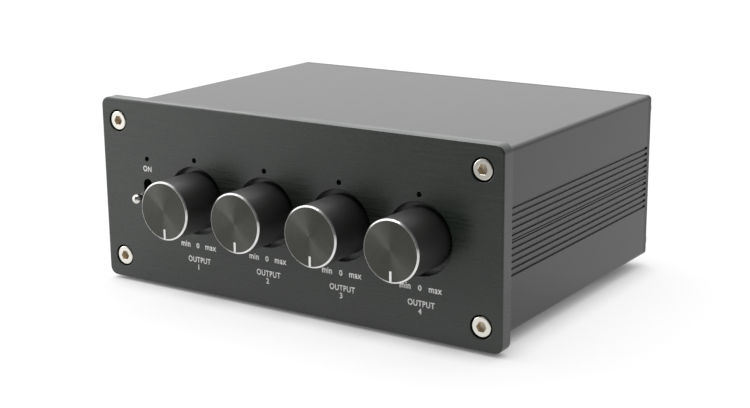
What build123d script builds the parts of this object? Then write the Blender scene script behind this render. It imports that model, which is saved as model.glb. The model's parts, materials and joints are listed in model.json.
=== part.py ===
from build123d import *
import math
import os

# An audio line distributor: a split aluminium case between a thick front panel with four level knobs and a
# thin rear panel with phono sockets. Lengths are in millimetres.
# Every piece is drawn in the panel's frame: X to the right, Y back from the panel's front face, and Z up
# from the panel's middle line. The last step moves it on to the floor.

# Allowances
cut_overrun = 1.0
press_play = 0.02
shaft_play = 0.05
thread_play = 0.05
running_gap = 0.3
seat_gap = 0.2

# Front panel
panel_width = 136.5
panel_height = 55.0
panel_thickness = 4.5
panel_corner_radius = 2.5
panel_edge_chamfer = 0.3
panel_floor_gap = 1.0
panel_side_overhang = 3.25
panel_rim_overhang = 2.5

# Case halves, both cut from the same extrusion
case_length = 91.5
case_wall = 2.4
case_corner_radius = 1.2
groove_count = 5
groove_pitch = 1.82
groove_width = 0.8
groove_depth = 0.6
split_line_width = 0.6
split_line_depth = 0.5
tongue_height = 1.6
tongue_thickness = 0.9
tongue_gap = 0.1
boss_radius = 2.9
rail_reach = 2.0
rail_thickness = 1.5
rail_gap = 0.1

# Rear panel
rear_thickness = 2.0

# Case screws
screw_side_inset = 3.0
screw_edge_inset = 4.2
screw_radius = 1.5
screw_hole_play = 0.2
cap_head_radius = 2.85
cap_head_height = 3.0
cap_head_chamfer = 0.3
cap_head_sink = 0.1
cap_head_play = 0.45
cap_socket_flats = 2.5
cap_socket_depth = 1.5
cap_screw_length = 10.0
pan_head_radius = 2.75
pan_head_height = 2.0
pan_head_fillet = 1.2
pan_slot_length = 3.0
pan_slot_width = 0.7
pan_slot_depth = 1.1
pan_screw_length = 8.0

# Rubber feet
foot_radius = 5.0
foot_tip_radius = 4.5
foot_tip_fillet = 0.5
foot_inset = 12.0

# Knobs
knob_count = 4
knob_pitch_share = 0.186081
knob_row_shift_share = 0.037729
knob_radius = 8.5
knob_reach = 13.8
knob_edge_chamfer = 0.4
knob_face_thickness = 2.5
knob_recess_gap = 1.5
knob_recess_depth = 2.3
knob_floor_gap = 0.5
pointer_length = 2.8
pointer_width = 0.7
pointer_depth = 0.2
set_screw_radius = 1.5
set_screw_length = 5.0
set_screw_setback = 9.0
set_screw_flats = 1.5
set_screw_socket_depth = 1.8

# Level controls
control_board_setback = 11.5
shaft_radius = 3.0
shaft_flat_offset = 1.5
shaft_flat_length = 12.0
shaft_tip_gap = 0.5
bushing_radius = 3.5
bushing_knob_gap = 0.8
bushing_hole_play = 0.3
pot_width = 12.0
pot_height = 13.5
pot_depth = 6.6
pot_plate_thickness = 0.8
pot_cavity_radius = 5.0
pot_floor = 1.2
rotor_radius = 4.6
rotor_thickness = 1.6
wiper_outer_radius = 4.2
wiper_inner_radius = 2.6
wiper_thickness = 0.3
wiper_finger_width = 1.0
wiper_track_gap = 0.1

# Power toggle
toggle_place_share = -0.374725
toggle_rise = 1.7
toggle_throw = 24.0
toggle_width = 7.2
toggle_height = 12.5
toggle_plate_thickness = 0.8
toggle_bush_radius = 3.0
toggle_bush_length = 3.4
toggle_lip = 0.6
toggle_pivot_inset = 1.6
toggle_pivot_radius = 1.7
toggle_pivot_play = 0.1
toggle_lever_length = 11.5
toggle_stem_radius = 0.95
toggle_tip_radius = 1.5
toggle_tip_gap = 0.15
toggle_tail_radius = 0.75
toggle_cavity_width = 3.4
toggle_cavity_height = 9.6
toggle_floor = 1.4
ridge_radius = 1.0
rocker_width = 2.4
rocker_height = 6.4
rocker_thickness = 0.4
rocker_gap = 0.1

# Lamps
lamp_hole_radius = 0.75
power_lamp_gap = 2.4
level_lamp_gap = 1.95
lamp_radius = 1.5
lamp_length = 5.2
lamp_flange_radius = 1.9
lamp_flange_thickness = 1.0
lamp_lead_spacing = 2.54
lamp_lead_width = 0.5

# Boards
board_thickness = 1.6
main_board_lift = 7.6
main_board_side_gap = 0.3
board_gap = 0.6
control_board_side_gap = 5.0
control_board_drop = 2.5
control_board_margin = 3.8
header_pin_count = 14
header_pitch = 2.54
header_pin_width = 0.64
header_body = 2.5
header_pin_tip = 1.0
header_hole_play = 0.05

# Phono sockets
socket_columns = 5
socket_inlet_gap = 21.0
socket_side_inset = 17.0
socket_lift = 8.0
socket_row_pitch = 14.0
socket_block_width = 11.0
socket_block_depth = 13.0
socket_block_margin = 6.0
sleeve_radius = 4.15
sleeve_shoulder = 0.35
sleeve_wall = 0.5
sleeve_reach = 9.0
sleeve_seat = 5.0
sleeve_hole_play = 0.3
insulator_inset = 1.0
contact_radius = 2.1
contact_bore_radius = 1.65
contact_length = 9.0
contact_floor = 1.0
contact_inset = 0.5

# Power inlet
inlet_side_inset = 16.0
inlet_width = 9.0
inlet_height = 11.0
inlet_depth = 12.0
inlet_axis_height = 6.5
inlet_nose_radius = 3.9
inlet_hole_play = 0.3
inlet_bore_radius = 3.1
inlet_bore_depth = 10.0
inlet_pin_radius = 1.05
inlet_pin_inset = 1.0

# Parts on the main board
filter_can_radius = 5.0
filter_can_height = 16.0
filter_can_fillet = 0.8
filter_can_pitch = 12.0
filter_can_setback = 10.0
amp_length = 9.8
amp_width = 6.4
amp_height = 3.3
amp_standoff = 0.5
amp_lead_count = 4
amp_lead_pitch = 2.54
amp_lead_width = 0.5
amp_setback = 12.0
coupling_width = 2.5
coupling_length = 7.2
coupling_height = 6.5
coupling_pitch = 6.0
coupling_setback = 14.0
regulator_width = 10.0
regulator_body_thickness = 4.4
regulator_body_height = 9.0
regulator_tab_thickness = 1.3
regulator_tab_height = 15.0
regulator_lead_length = 3.5
regulator_lead_width = 0.8
regulator_lead_pitch = 2.54
regulator_setback = 14.0
sink_rail_gap = 1.6
sink_width = 20.0
sink_height = 18.0
sink_base_thickness = 2.0
sink_fin_count = 6
sink_fin_length = 8.0
sink_fin_thickness = 1.2

# The panel overhangs the case all round
case_width = panel_width - 2 * panel_side_overhang
case_height = panel_height - 2 * panel_rim_overhang

# Depths behind the panel's front face
knob_back = knob_recess_depth - knob_floor_gap
case_front = panel_thickness
case_back = case_front + case_length
rear_back = case_back + rear_thickness
sleeve_back = rear_back + sleeve_reach
board_front = panel_thickness + control_board_setback
board_back = board_front + board_thickness
main_board_front = board_back + board_gap
main_board_back = case_back - seat_gap
pot_plate_back = board_front - pot_depth
pot_plate_front = pot_plate_back - pot_plate_thickness
bushing_front = knob_back + bushing_knob_gap
rotor_front = pot_plate_back + running_gap
rotor_back = rotor_front + rotor_thickness
shaft_tip = knob_face_thickness + shaft_tip_gap - knob_reach
counterbore_depth = cap_head_height + cap_head_sink
toggle_front = panel_thickness + running_gap
toggle_pivot = toggle_front + toggle_pivot_inset
toggle_plate_back = toggle_front + toggle_bush_length
toggle_cavity_back = board_front - toggle_floor
lamp_tip = panel_thickness + running_gap
socket_block_back = case_back - seat_gap
socket_block_front = socket_block_back - socket_block_depth
sleeve_front = socket_block_back - sleeve_seat
insulator_back = sleeve_back - insulator_inset
contact_back = insulator_back - contact_inset
contact_front = contact_back - contact_length
inlet_bore_front = rear_back - inlet_bore_depth
inlet_front = socket_block_back - inlet_depth

# Places across and up the panel
screw_x = case_width / 2 - screw_side_inset
screw_rise = case_height / 2 - screw_edge_inset
knob_pitch = panel_width * knob_pitch_share
first_knob = panel_width * knob_row_shift_share - knob_pitch * (knob_count - 1) / 2
knob_places = [first_knob + n * knob_pitch for n in range(knob_count)]
knob_recess_radius = knob_radius + knob_recess_gap
toggle_x = panel_width * toggle_place_share
power_lamp_rise = toggle_rise + toggle_height / 2 + power_lamp_gap
level_lamp_rise = knob_recess_radius + level_lamp_gap
main_board_rise = case_wall + main_board_lift - case_height / 2
header_rise = main_board_rise + header_body / 2
inlet_x = inlet_side_inset - case_width / 2
inlet_rise = main_board_rise + inlet_axis_height
first_socket = inlet_x + socket_inlet_gap
socket_pitch = (case_width / 2 - socket_side_inset - first_socket) / (socket_columns - 1)
socket_places = [first_socket + n * socket_pitch for n in range(socket_columns)]
lower_socket_rise = main_board_rise + socket_lift
upper_socket_rise = lower_socket_rise + socket_row_pitch
sleeve_base_radius = sleeve_radius + sleeve_shoulder
sink_x = case_wall + rail_reach + sink_rail_gap + sink_width / 2 - case_width / 2

# The slot lets the ball tip through and clears the stem over its whole throw
toggle_tilt = toggle_throw / 2
toggle_swing = math.tan(math.radians(toggle_tilt))
stem_half_height = toggle_stem_radius / math.cos(math.radians(toggle_tilt))
toggle_slot_width = 2 * (toggle_tip_radius + toggle_tip_gap)
toggle_slot_height = 2 * (toggle_pivot * toggle_swing + stem_half_height + running_gap)
rocker_back = toggle_cavity_back - ridge_radius - rocker_gap
rocker_front = rocker_back - rocker_thickness
toggle_tail_length = rocker_front - running_gap - toggle_pivot

# The frame on the floor, with its origin under the middle of the whole part
panel_front_y = knob_reach - (knob_reach + sleeve_back) / 2
middle_z = panel_floor_gap + panel_height / 2

ON_FLOOR = (Align.CENTER, Align.CENTER, Align.MIN)
BEFORE_FACE = (Align.CENTER, Align.MAX, Align.MIN)
BEHIND_FACE = (Align.CENTER, Align.MIN, Align.MIN)


def rod(radius, front, back):
    """Round bar along the depth, between two depths."""
    return Pos(0, front, 0) * Rot(-90, 0, 0) * Cylinder(radius, back - front, align=ON_FLOOR)


def prism(sketch, front, back):
    """A sketch seen from the front, drawn out between two depths."""
    return Pos(0, back, 0) * Rot(90, 0, 0) * extrude(sketch, amount=back - front)


def block(width, height, front, back):
    """Square bar along the depth, between two depths."""
    return prism(Rectangle(width, height), front, back)


def hexagon(flats):
    """Hexagon of a given size across its flats."""
    return RegularPolygon(flats / math.sqrt(3), 6)


def on_board(shape, x, depth):
    """A piece drawn standing on zero height, set on the main board."""
    return Pos(x, depth, main_board_rise) * shape


def group(shapes):
    """Separate solids that share one node."""
    return Compound([solid for shape in shapes for solid in shape.solids()])


def corner_places():
    """Axes of the four case screws."""
    return [(x, rise) for x in (-screw_x, screw_x) for rise in (-screw_rise, screw_rise)]


def phono_places():
    """Axes of all phono sockets, the upper row first."""
    return [(x, rise) for rise in (upper_socket_rise, lower_socket_rise) for x in socket_places]


def front_panel():
    """Thick front panel with counterbored corners, knob recesses, lamp holes and the toggle slot."""
    plate = prism(RectangleRounded(panel_width, panel_height, panel_corner_radius), 0, panel_thickness)
    plate = chamfer(plate.faces().sort_by(Axis.Y)[0].edges(), panel_edge_chamfer)
    through = panel_thickness + cut_overrun
    for x, rise in corner_places():
        plate -= Pos(x, 0, rise) * rod(cap_head_radius + cap_head_play, -cut_overrun, counterbore_depth)
        plate -= Pos(x, 0, rise) * rod(screw_radius + screw_hole_play, -cut_overrun, through)
    for x in knob_places:
        plate -= Pos(x, 0, 0) * rod(knob_recess_radius, -cut_overrun, knob_recess_depth)
        plate -= Pos(x, 0, 0) * rod(bushing_radius + bushing_hole_play, -cut_overrun, through)
        plate -= Pos(x, 0, level_lamp_rise) * rod(lamp_hole_radius, -cut_overrun, through)
    plate -= Pos(toggle_x, 0, power_lamp_rise) * rod(lamp_hole_radius, -cut_overrun, through)
    slot = Rot(0, 0, 90) * SlotOverall(toggle_slot_height, toggle_slot_width)
    plate -= Pos(toggle_x, 0, toggle_rise) * prism(slot, -cut_overrun, through)
    return plate


def half_profile():
    """Section of the lower case half: walls, screw bosses, board rails, side grooves, tongue and rebate."""
    outline = RectangleRounded(case_width, case_height, case_corner_radius)
    profile = outline - Rectangle(case_width - 2 * case_wall, case_height - 2 * case_wall)
    wall_x = case_width / 2 - case_wall
    rail_x = wall_x - rail_reach / 2
    rail_rises = (
        main_board_rise + rail_gap + rail_thickness / 2,
        main_board_rise - board_thickness - rail_gap - rail_thickness / 2,
    )
    for side in (-1, 1):
        profile += outline & Pos(side * screw_x, -screw_rise) * Circle(boss_radius)
        for rail_rise in rail_rises:
            profile += Pos(side * rail_x, rail_rise) * Rectangle(rail_reach, rail_thickness)
    profile &= Pos(0, -case_height / 2) * Rectangle(case_width, case_height)
    tongue = Rectangle(tongue_thickness, tongue_height, align=(Align.MIN, Align.MIN))
    rebate_width = tongue_thickness + tongue_gap
    rebate = Rectangle(rebate_width, tongue_height + tongue_gap, align=(Align.MAX, Align.MAX))
    profile += Pos(wall_x, 0) * tongue
    profile -= Pos(-wall_x, 0) * rebate
    for side in (-1, 1):
        profile -= Pos(side * screw_x, -screw_rise) * Circle(screw_radius + thread_play)
        profile -= Pos(side * case_width / 2, 0) * Rectangle(2 * split_line_depth, split_line_width)
        for n in range(groove_count):
            groove = Rectangle(2 * groove_depth, groove_width)
            profile -= Pos(side * case_width / 2, -(n + 1) * groove_pitch) * groove
    return profile


def bottom_shell():
    """Lower case half, which holds the main board in its rails."""
    return prism(half_profile(), case_front, case_back)


def top_shell():
    """Upper case half: the same extrusion, turned over."""
    return prism(Rot(0, 0, 180) * half_profile(), case_front, case_back)


def rear_panel():
    """Thin rear panel, flush with the case, with the socket, inlet and screw holes."""
    plate = prism(RectangleRounded(case_width, case_height, case_corner_radius), case_back, rear_back)
    front = case_back - cut_overrun
    back = rear_back + cut_overrun
    for x, rise in corner_places():
        plate -= Pos(x, 0, rise) * rod(screw_radius + screw_hole_play, front, back)
    for x, rise in phono_places():
        plate -= Pos(x, 0, rise) * rod(sleeve_base_radius + sleeve_hole_play, front, back)
    plate -= Pos(inlet_x, 0, inlet_rise) * rod(inlet_nose_radius + inlet_hole_play, front, back)
    return plate


def cap_screw():
    """Socket cap screw, with its head in the panel's counterbore."""
    head_front = counterbore_depth - cap_head_height
    head = rod(cap_head_radius, head_front, counterbore_depth)
    head = chamfer(head.faces().sort_by(Axis.Y)[0].edges(), cap_head_chamfer)
    screw = head + rod(screw_radius, counterbore_depth, counterbore_depth + cap_screw_length)
    return screw - prism(hexagon(cap_socket_flats), head_front - cut_overrun, head_front + cap_socket_depth)


def pan_screw():
    """Cross-slotted pan head screw through the rear panel."""
    head_back = rear_back + pan_head_height
    head = rod(pan_head_radius, rear_back, head_back)
    head = fillet(head.faces().sort_by(Axis.Y)[-1].edges(), pan_head_fillet)
    screw = head + rod(screw_radius, rear_back - pan_screw_length, rear_back)
    slot_front = head_back - pan_slot_depth
    screw -= block(pan_slot_length, pan_slot_width, slot_front, head_back + cut_overrun)
    return screw - block(pan_slot_width, pan_slot_length, slot_front, head_back + cut_overrun)


def panel_screws():
    """The four front panel screws."""
    return group([Pos(x, 0, rise) * cap_screw() for x, rise in corner_places()])


def rear_screws():
    """The four rear panel screws."""
    return group([Pos(x, 0, rise) * pan_screw() for x, rise in corner_places()])


def foot(side, depth):
    """Rubber foot under the case, from the floor up to the case's underside."""
    height = middle_z - case_height / 2
    pad = Cone(foot_tip_radius, foot_radius, height, align=ON_FLOOR)
    pad = fillet(pad.faces().sort_by(Axis.Z)[0].edges(), foot_tip_fillet)
    return Pos(side * (case_width / 2 - foot_inset), depth, -middle_z) * pad


def knob():
    """Turned knob with a cut front edge, a pointer groove at six o'clock, a bore and a set screw hole."""
    body = rod(knob_radius, -knob_reach, knob_back)
    body = chamfer(body.faces().sort_by(Axis.Y)[0].edges(), knob_edge_chamfer)
    body -= rod(shaft_radius + press_play, knob_face_thickness - knob_reach, knob_back + cut_overrun)
    groove = Rectangle(pointer_width, pointer_length + cut_overrun, align=(Align.CENTER, Align.MAX))
    groove_top = pointer_length + knob_edge_chamfer - knob_radius
    body -= Pos(0, 0, groove_top) * prism(groove, -knob_reach - cut_overrun, pointer_depth - knob_reach)
    hole = Cylinder(set_screw_radius + thread_play, knob_radius + cut_overrun, align=ON_FLOOR)
    return body - Pos(0, set_screw_setback - knob_reach, 0) * Rot(180, 0, 0) * hole


def knob_set_screw():
    """Grub screw that bears on the shaft's flat."""
    screw = Cylinder(set_screw_radius, set_screw_length, align=ON_FLOOR)
    socket = extrude(hexagon(set_screw_flats), amount=set_screw_socket_depth + cut_overrun)
    screw -= Pos(0, 0, set_screw_length - set_screw_socket_depth) * socket
    seat = shaft_flat_offset + press_play
    return Pos(0, set_screw_setback - knob_reach, -seat) * Rot(180, 0, 0) * screw


def pot_shaft():
    """Control shaft with a flat for the set screw, and the rotor on its inner end."""
    shaft = rod(shaft_radius, shaft_tip, rotor_back) + rod(rotor_radius, rotor_front, rotor_back)
    flat = Rectangle(2 * shaft_radius + cut_overrun, shaft_radius, align=(Align.CENTER, Align.MAX))
    flat_cut = prism(flat, shaft_tip - cut_overrun, shaft_tip + shaft_flat_length)
    return shaft - Pos(0, 0, -shaft_flat_offset) * flat_cut


def pot_wiper():
    """Spring ring on the rotor's back, with two fingers that run on the track."""
    ring_back = rotor_back + wiper_thickness
    ring = rod(wiper_outer_radius, rotor_back, ring_back)
    ring -= rod(wiper_inner_radius, rotor_back - cut_overrun, ring_back + cut_overrun)
    track = board_front - pot_floor - wiper_track_gap
    finger_rise = (wiper_outer_radius + wiper_inner_radius) / 2
    finger = block(wiper_finger_width, wiper_finger_width, rotor_back, track)
    for side in (-1, 1):
        ring += Pos(0, 0, side * finger_rise) * finger
    return ring


def pot_bushing():
    """Metal front plate of the control, with the bushing that carries the shaft."""
    plate = block(pot_width, pot_height, pot_plate_front, pot_plate_back)
    plate += rod(bushing_radius, bushing_front, pot_plate_front)
    return plate - rod(shaft_radius + shaft_play, bushing_front - cut_overrun, pot_plate_back + cut_overrun)


def pot_body():
    """Moulded control body on the control board, with the track on its floor."""
    body = block(pot_width, pot_height, pot_plate_back, board_front)
    return body - rod(pot_cavity_radius, pot_plate_back - cut_overrun, board_front - pot_floor)


def at_toggle(shape):
    """A piece drawn on the toggle's axis, set in its place on the panel."""
    return Pos(toggle_x, 0, toggle_rise) * shape


def toggle_bushing():
    """Metal plate and bush of the power toggle, with a lip that keeps the lever's pivot ball in."""
    plate_front = toggle_plate_back - toggle_plate_thickness
    bush = block(toggle_width, toggle_height, plate_front, toggle_plate_back)
    bush += rod(toggle_bush_radius, toggle_front, plate_front)
    lip_back = toggle_front + toggle_lip
    mouth_swing = (toggle_pivot - toggle_front) * toggle_swing
    mouth_radius = mouth_swing + stem_half_height + toggle_pivot_play
    bush -= rod(mouth_radius, toggle_front - cut_overrun, lip_back)
    bush -= rod(toggle_pivot_radius + toggle_pivot_play, lip_back, toggle_plate_back + cut_overrun)
    return at_toggle(bush)


def toggle_body():
    """Moulded switch body on the control board, hollow, with the ridge that the contact rocker tips on."""
    body = block(toggle_width, toggle_height, toggle_plate_back, board_front)
    hollow_front = toggle_plate_back - cut_overrun
    body -= block(toggle_cavity_width, toggle_cavity_height, hollow_front, toggle_cavity_back)
    ridge = Pos(0, toggle_cavity_back, 0) * Rot(0, 90, 0) * Cylinder(ridge_radius, toggle_cavity_width)
    return at_toggle(body + ridge)


def toggle_lever():
    """Bright lever with a ball tip, at its off position with the tip down."""
    lever = Sphere(toggle_pivot_radius)
    lever += rod(toggle_stem_radius, -toggle_lever_length, 0)
    lever += Pos(0, -toggle_lever_length, 0) * Sphere(toggle_tip_radius)
    lever += rod(toggle_tail_radius, 0, toggle_tail_length)
    return at_toggle(Pos(0, toggle_pivot, 0) * Rot(toggle_tilt, 0, 0) * lever)


def toggle_rocker():
    """Contact strip that tips over the ridge, away from the lever's tail."""
    strip = Pos(0, -toggle_cavity_back, 0) * block(rocker_width, rocker_height, rocker_front, rocker_back)
    return at_toggle(Pos(0, toggle_cavity_back, 0) * Rot(-toggle_tilt, 0, 0) * strip)


def lamp(x, rise):
    """Round lamp behind a panel hole, on two leads from the control board."""
    dome_back = lamp_tip + lamp_radius
    flange_back = lamp_tip + lamp_length
    shape = Pos(0, dome_back, 0) * Sphere(lamp_radius)
    shape += rod(lamp_radius, dome_back, flange_back)
    shape += rod(lamp_flange_radius, flange_back - lamp_flange_thickness, flange_back)
    for side in (-1, 1):
        lead = block(lamp_lead_width, lamp_lead_width, flange_back, board_front)
        shape += Pos(side * lamp_lead_spacing / 2, 0, 0) * lead
    return Pos(x, 0, rise) * shape


def power_lamp():
    """The lamp over the power toggle."""
    return lamp(toggle_x, power_lamp_rise)


def level_lamps():
    """The lamps over the four knobs."""
    return group([lamp(x, level_lamp_rise) for x in knob_places])


def header_places():
    """Places of the header's pins across the boards."""
    return [(n - (header_pin_count - 1) / 2) * header_pitch for n in range(header_pin_count)]


def control_board():
    """Upright board behind the panel, with holes for the header's pins."""
    width = case_width - 2 * (case_wall + control_board_side_gap)
    top = level_lamp_rise + control_board_margin
    bottom = main_board_rise - control_board_drop
    board = Pos(0, 0, (top + bottom) / 2) * block(width, top - bottom, board_front, board_back)
    hole_radius = header_pin_width / math.sqrt(2) + header_hole_play
    for x in header_places():
        hole = rod(hole_radius, board_front - cut_overrun, board_back + cut_overrun)
        board -= Pos(x, 0, header_rise) * hole
    return board


def main_board():
    """Level board in the lower case half's rails."""
    width = case_width - 2 * (case_wall + main_board_side_gap)
    board = block(width, board_thickness, main_board_front, main_board_back)
    return Pos(0, 0, main_board_rise - board_thickness / 2) * board


def board_header():
    """Right-angle pin header on the main board, with its pins through the control board."""
    body_back = main_board_front + header_body
    header = block(header_pin_count * header_pitch, header_body, main_board_front, body_back)
    for x in header_places():
        pin = block(header_pin_width, header_pin_width, board_front - header_pin_tip, main_board_front)
        header += Pos(x, 0, 0) * pin
    return Pos(0, 0, header_rise) * header


def socket_block(x):
    """Moulded block on the main board that holds one pair of phono sockets."""
    top = upper_socket_rise + socket_block_margin
    height = top - main_board_rise
    body = block(socket_block_width, height, socket_block_front, socket_block_back)
    body = Pos(0, 0, (top + main_board_rise) / 2) * body
    for rise in (upper_socket_rise, lower_socket_rise):
        seat = rod(sleeve_base_radius + press_play, sleeve_front, socket_block_back + cut_overrun)
        body -= Pos(0, 0, rise) * seat
    return Pos(x, 0, 0) * body


def socket_sleeves():
    """Outer contact sleeves of all phono sockets, each with a wider base in its block and the rear panel."""
    sleeve = rod(sleeve_radius, sleeve_front, sleeve_back) + rod(sleeve_base_radius, sleeve_front, rear_back)
    sleeve -= rod(sleeve_radius - sleeve_wall, sleeve_front - cut_overrun, sleeve_back + cut_overrun)
    return group([Pos(x, 0, rise) * sleeve for x, rise in phono_places()])


def socket_insulators(rise):
    """Coloured insulators of one row of phono sockets, inside the sleeves."""
    plug = rod(sleeve_radius - sleeve_wall - press_play, sleeve_front, insulator_back)
    plug -= rod(contact_radius + press_play, contact_front, insulator_back + cut_overrun)
    return group([Pos(x, 0, rise) * plug for x in socket_places])


def socket_contacts():
    """Centre contacts of all phono sockets, open to the back."""
    contact = rod(contact_radius, contact_front, contact_back)
    contact -= rod(contact_bore_radius, contact_front + contact_floor, contact_back + cut_overrun)
    return group([Pos(x, 0, rise) * contact for x, rise in phono_places()])


def inlet_body():
    """Power inlet on the main board, with its round nose through the rear panel."""
    body_rise = main_board_rise + inlet_height / 2 - inlet_rise
    body = Pos(0, 0, body_rise) * block(inlet_width, inlet_height, inlet_front, socket_block_back)
    body += rod(inlet_nose_radius, inlet_front, rear_back)
    body -= rod(inlet_bore_radius, inlet_bore_front, rear_back + cut_overrun)
    return Pos(inlet_x, 0, inlet_rise) * body


def inlet_pin():
    """Centre pin of the power inlet."""
    return Pos(inlet_x, 0, inlet_rise) * rod(inlet_pin_radius, inlet_bore_front, rear_back - inlet_pin_inset)


def filter_capacitors():
    """Two filter capacitor cans in front of the power inlet."""
    can = Cylinder(filter_can_radius, filter_can_height, align=ON_FLOOR)
    can = fillet(can.faces().sort_by(Axis.Z)[-1].edges(), filter_can_fillet)
    first = inlet_front - filter_can_setback
    return group([on_board(can, inlet_x, first - n * filter_can_pitch) for n in range(2)])


def voltage_regulator():
    """Regulator standing on its leads, with its tab to the heat sink behind it."""
    tab = Box(regulator_width, regulator_tab_thickness, regulator_tab_height, align=BEFORE_FACE)
    body = Box(regulator_width, regulator_body_thickness, regulator_body_height, align=BEFORE_FACE)
    shape = Pos(0, 0, regulator_lead_length) * (tab + body)
    for n in range(3):
        lead = Box(regulator_lead_width, regulator_lead_width, regulator_lead_length, align=ON_FLOOR)
        shape += Pos((n - 1) * regulator_lead_pitch, -regulator_body_thickness / 2, 0) * lead
    return on_board(shape, sink_x, sink_front())


def sink_front():
    """Depth of the heat sink's face, in front of the filter capacitors."""
    return inlet_front - filter_can_setback - filter_can_pitch - regulator_setback - sink_fin_length


def heat_sink():
    """Finned heat sink behind the regulator's tab."""
    base = Box(sink_width, sink_base_thickness, sink_height, align=BEHIND_FACE)
    fin_size = (sink_fin_thickness, sink_base_thickness + sink_fin_length, sink_height)
    fin_step = (sink_width - sink_fin_thickness) / (sink_fin_count - 1)
    for n in range(sink_fin_count):
        fin = Box(*fin_size, align=BEHIND_FACE)
        base += Pos((n - (sink_fin_count - 1) / 2) * fin_step, 0, 0) * fin
    return on_board(base, sink_x, sink_front())


def line_amplifiers():
    """One dual amplifier chip in front of each pair of phono sockets."""
    chip = Pos(0, 0, amp_standoff) * Box(amp_length, amp_width, amp_height, align=ON_FLOOR)
    lead_height = amp_standoff + amp_height / 2
    for n in range(amp_lead_count):
        for side in (-1, 1):
            lead = Box(amp_lead_width, amp_lead_width, lead_height, align=ON_FLOOR)
            lead_x = (n - (amp_lead_count - 1) / 2) * amp_lead_pitch
            chip += Pos(lead_x, side * (amp_width + amp_lead_width) / 2, 0) * lead
    depth = socket_block_front - amp_setback
    return group([on_board(chip, x, depth) for x in socket_places])


def coupling_capacitors():
    """Two film capacitors in front of each amplifier chip."""
    film = Box(coupling_width, coupling_length, coupling_height, align=ON_FLOOR)
    depth = socket_block_front - amp_setback - coupling_setback
    return group([
        on_board(film, x + side * coupling_pitch / 2, depth) for x in socket_places for side in (-1, 1)
    ])


def write(name, shape):
    """Set one piece on the floor and write it as a node."""
    export_step(Pos(0, panel_front_y, middle_z) * shape, f"parts/{name}.step")


def main():
    """Write every piece of the distributor."""
    os.makedirs("parts", exist_ok=True)
    write("front_panel", front_panel())
    write("top_shell", top_shell())
    write("bottom_shell", bottom_shell())
    write("rear_panel", rear_panel())
    write("panel_screws", panel_screws())
    write("rear_screws", rear_screws())
    for end, depth in (("front", case_front + foot_inset), ("rear", case_back - foot_inset)):
        write(f"foot_{end}_left", foot(-1, depth))
        write(f"foot_{end}_right", foot(1, depth))
    for n, x in enumerate(knob_places, start=1):
        write(f"knob_{n}", Pos(x, 0, 0) * knob())
        write(f"knob_set_screw_{n}", Pos(x, 0, 0) * knob_set_screw())
        write(f"pot_shaft_{n}", Pos(x, 0, 0) * pot_shaft())
        write(f"pot_wiper_{n}", Pos(x, 0, 0) * pot_wiper())
        write(f"pot_bushing_{n}", Pos(x, 0, 0) * pot_bushing())
        write(f"pot_body_{n}", Pos(x, 0, 0) * pot_body())
    write("toggle_bushing", toggle_bushing())
    write("toggle_body", toggle_body())
    write("toggle_lever", toggle_lever())
    write("toggle_rocker", toggle_rocker())
    write("power_lamp", power_lamp())
    write("level_lamps", level_lamps())
    write("control_board", control_board())
    write("main_board", main_board())
    write("board_header", board_header())
    for n, x in enumerate(socket_places):
        write(f"socket_block_{n}" if n else "socket_block_input", socket_block(x))
    write("socket_sleeves", socket_sleeves())
    write("socket_insulators_left", socket_insulators(upper_socket_rise))
    write("socket_insulators_right", socket_insulators(lower_socket_rise))
    write("socket_contacts", socket_contacts())
    write("inlet_body", inlet_body())
    write("inlet_pin", inlet_pin())
    write("filter_capacitors", filter_capacitors())
    write("voltage_regulator", voltage_regulator())
    write("heat_sink", heat_sink())
    write("line_amplifiers", line_amplifiers())
    write("coupling_capacitors", coupling_capacitors())


if __name__ == "__main__":
    main()
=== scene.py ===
"""Looks of an audio line distributor: front panel, four knobs, a toggle and a split case.

Lengths are in metres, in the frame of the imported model: X to the right, Y to the back, Z up.
"""

import json
import logging
import math
from abc import ABC, abstractmethod
from collections.abc import Sequence
from dataclasses import dataclass
from enum import Enum
from itertools import pairwise

import bmesh
import bpy
from mathutils import Matrix, Vector
from mathutils.geometry import tessellate_polygon


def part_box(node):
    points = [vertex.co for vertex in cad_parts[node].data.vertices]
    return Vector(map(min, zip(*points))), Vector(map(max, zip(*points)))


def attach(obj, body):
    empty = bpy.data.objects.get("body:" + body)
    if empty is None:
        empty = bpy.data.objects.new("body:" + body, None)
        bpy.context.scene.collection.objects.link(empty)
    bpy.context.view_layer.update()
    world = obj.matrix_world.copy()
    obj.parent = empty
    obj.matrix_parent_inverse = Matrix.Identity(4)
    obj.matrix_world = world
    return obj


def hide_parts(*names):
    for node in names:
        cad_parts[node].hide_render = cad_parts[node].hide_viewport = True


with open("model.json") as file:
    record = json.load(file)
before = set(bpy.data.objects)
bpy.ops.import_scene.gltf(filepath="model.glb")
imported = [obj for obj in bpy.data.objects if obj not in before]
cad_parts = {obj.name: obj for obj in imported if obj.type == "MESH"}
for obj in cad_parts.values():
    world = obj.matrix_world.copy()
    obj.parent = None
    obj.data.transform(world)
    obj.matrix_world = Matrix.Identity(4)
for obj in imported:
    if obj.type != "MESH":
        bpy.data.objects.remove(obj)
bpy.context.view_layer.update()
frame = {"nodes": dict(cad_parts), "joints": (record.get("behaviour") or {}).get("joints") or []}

MM = 0.001
KNOB_NODES = ("knob_1", "knob_2", "knob_3", "knob_4")
ARC_STEPS = 5
HOLD_SHARE = 0.2
MERGE_DISTANCE = 1e-4 * MM
SMOOTH_LIMIT = math.radians(32)
PRINT_THICKNESS = 0.04 * MM
LOG = logging.getLogger("line_distributor")

Colour = tuple[float, float, float]
Place = tuple[float, float, float]
Pair = tuple[float, float]
Ramp = tuple[float, float, float, float]
Rows = tuple[Pair, ...]

BLACK: Colour = (0.0, 0.0, 0.0)
WHITE: Colour = (1.0, 1.0, 1.0)
NOISE_MIDDLE = 0.5


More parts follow.
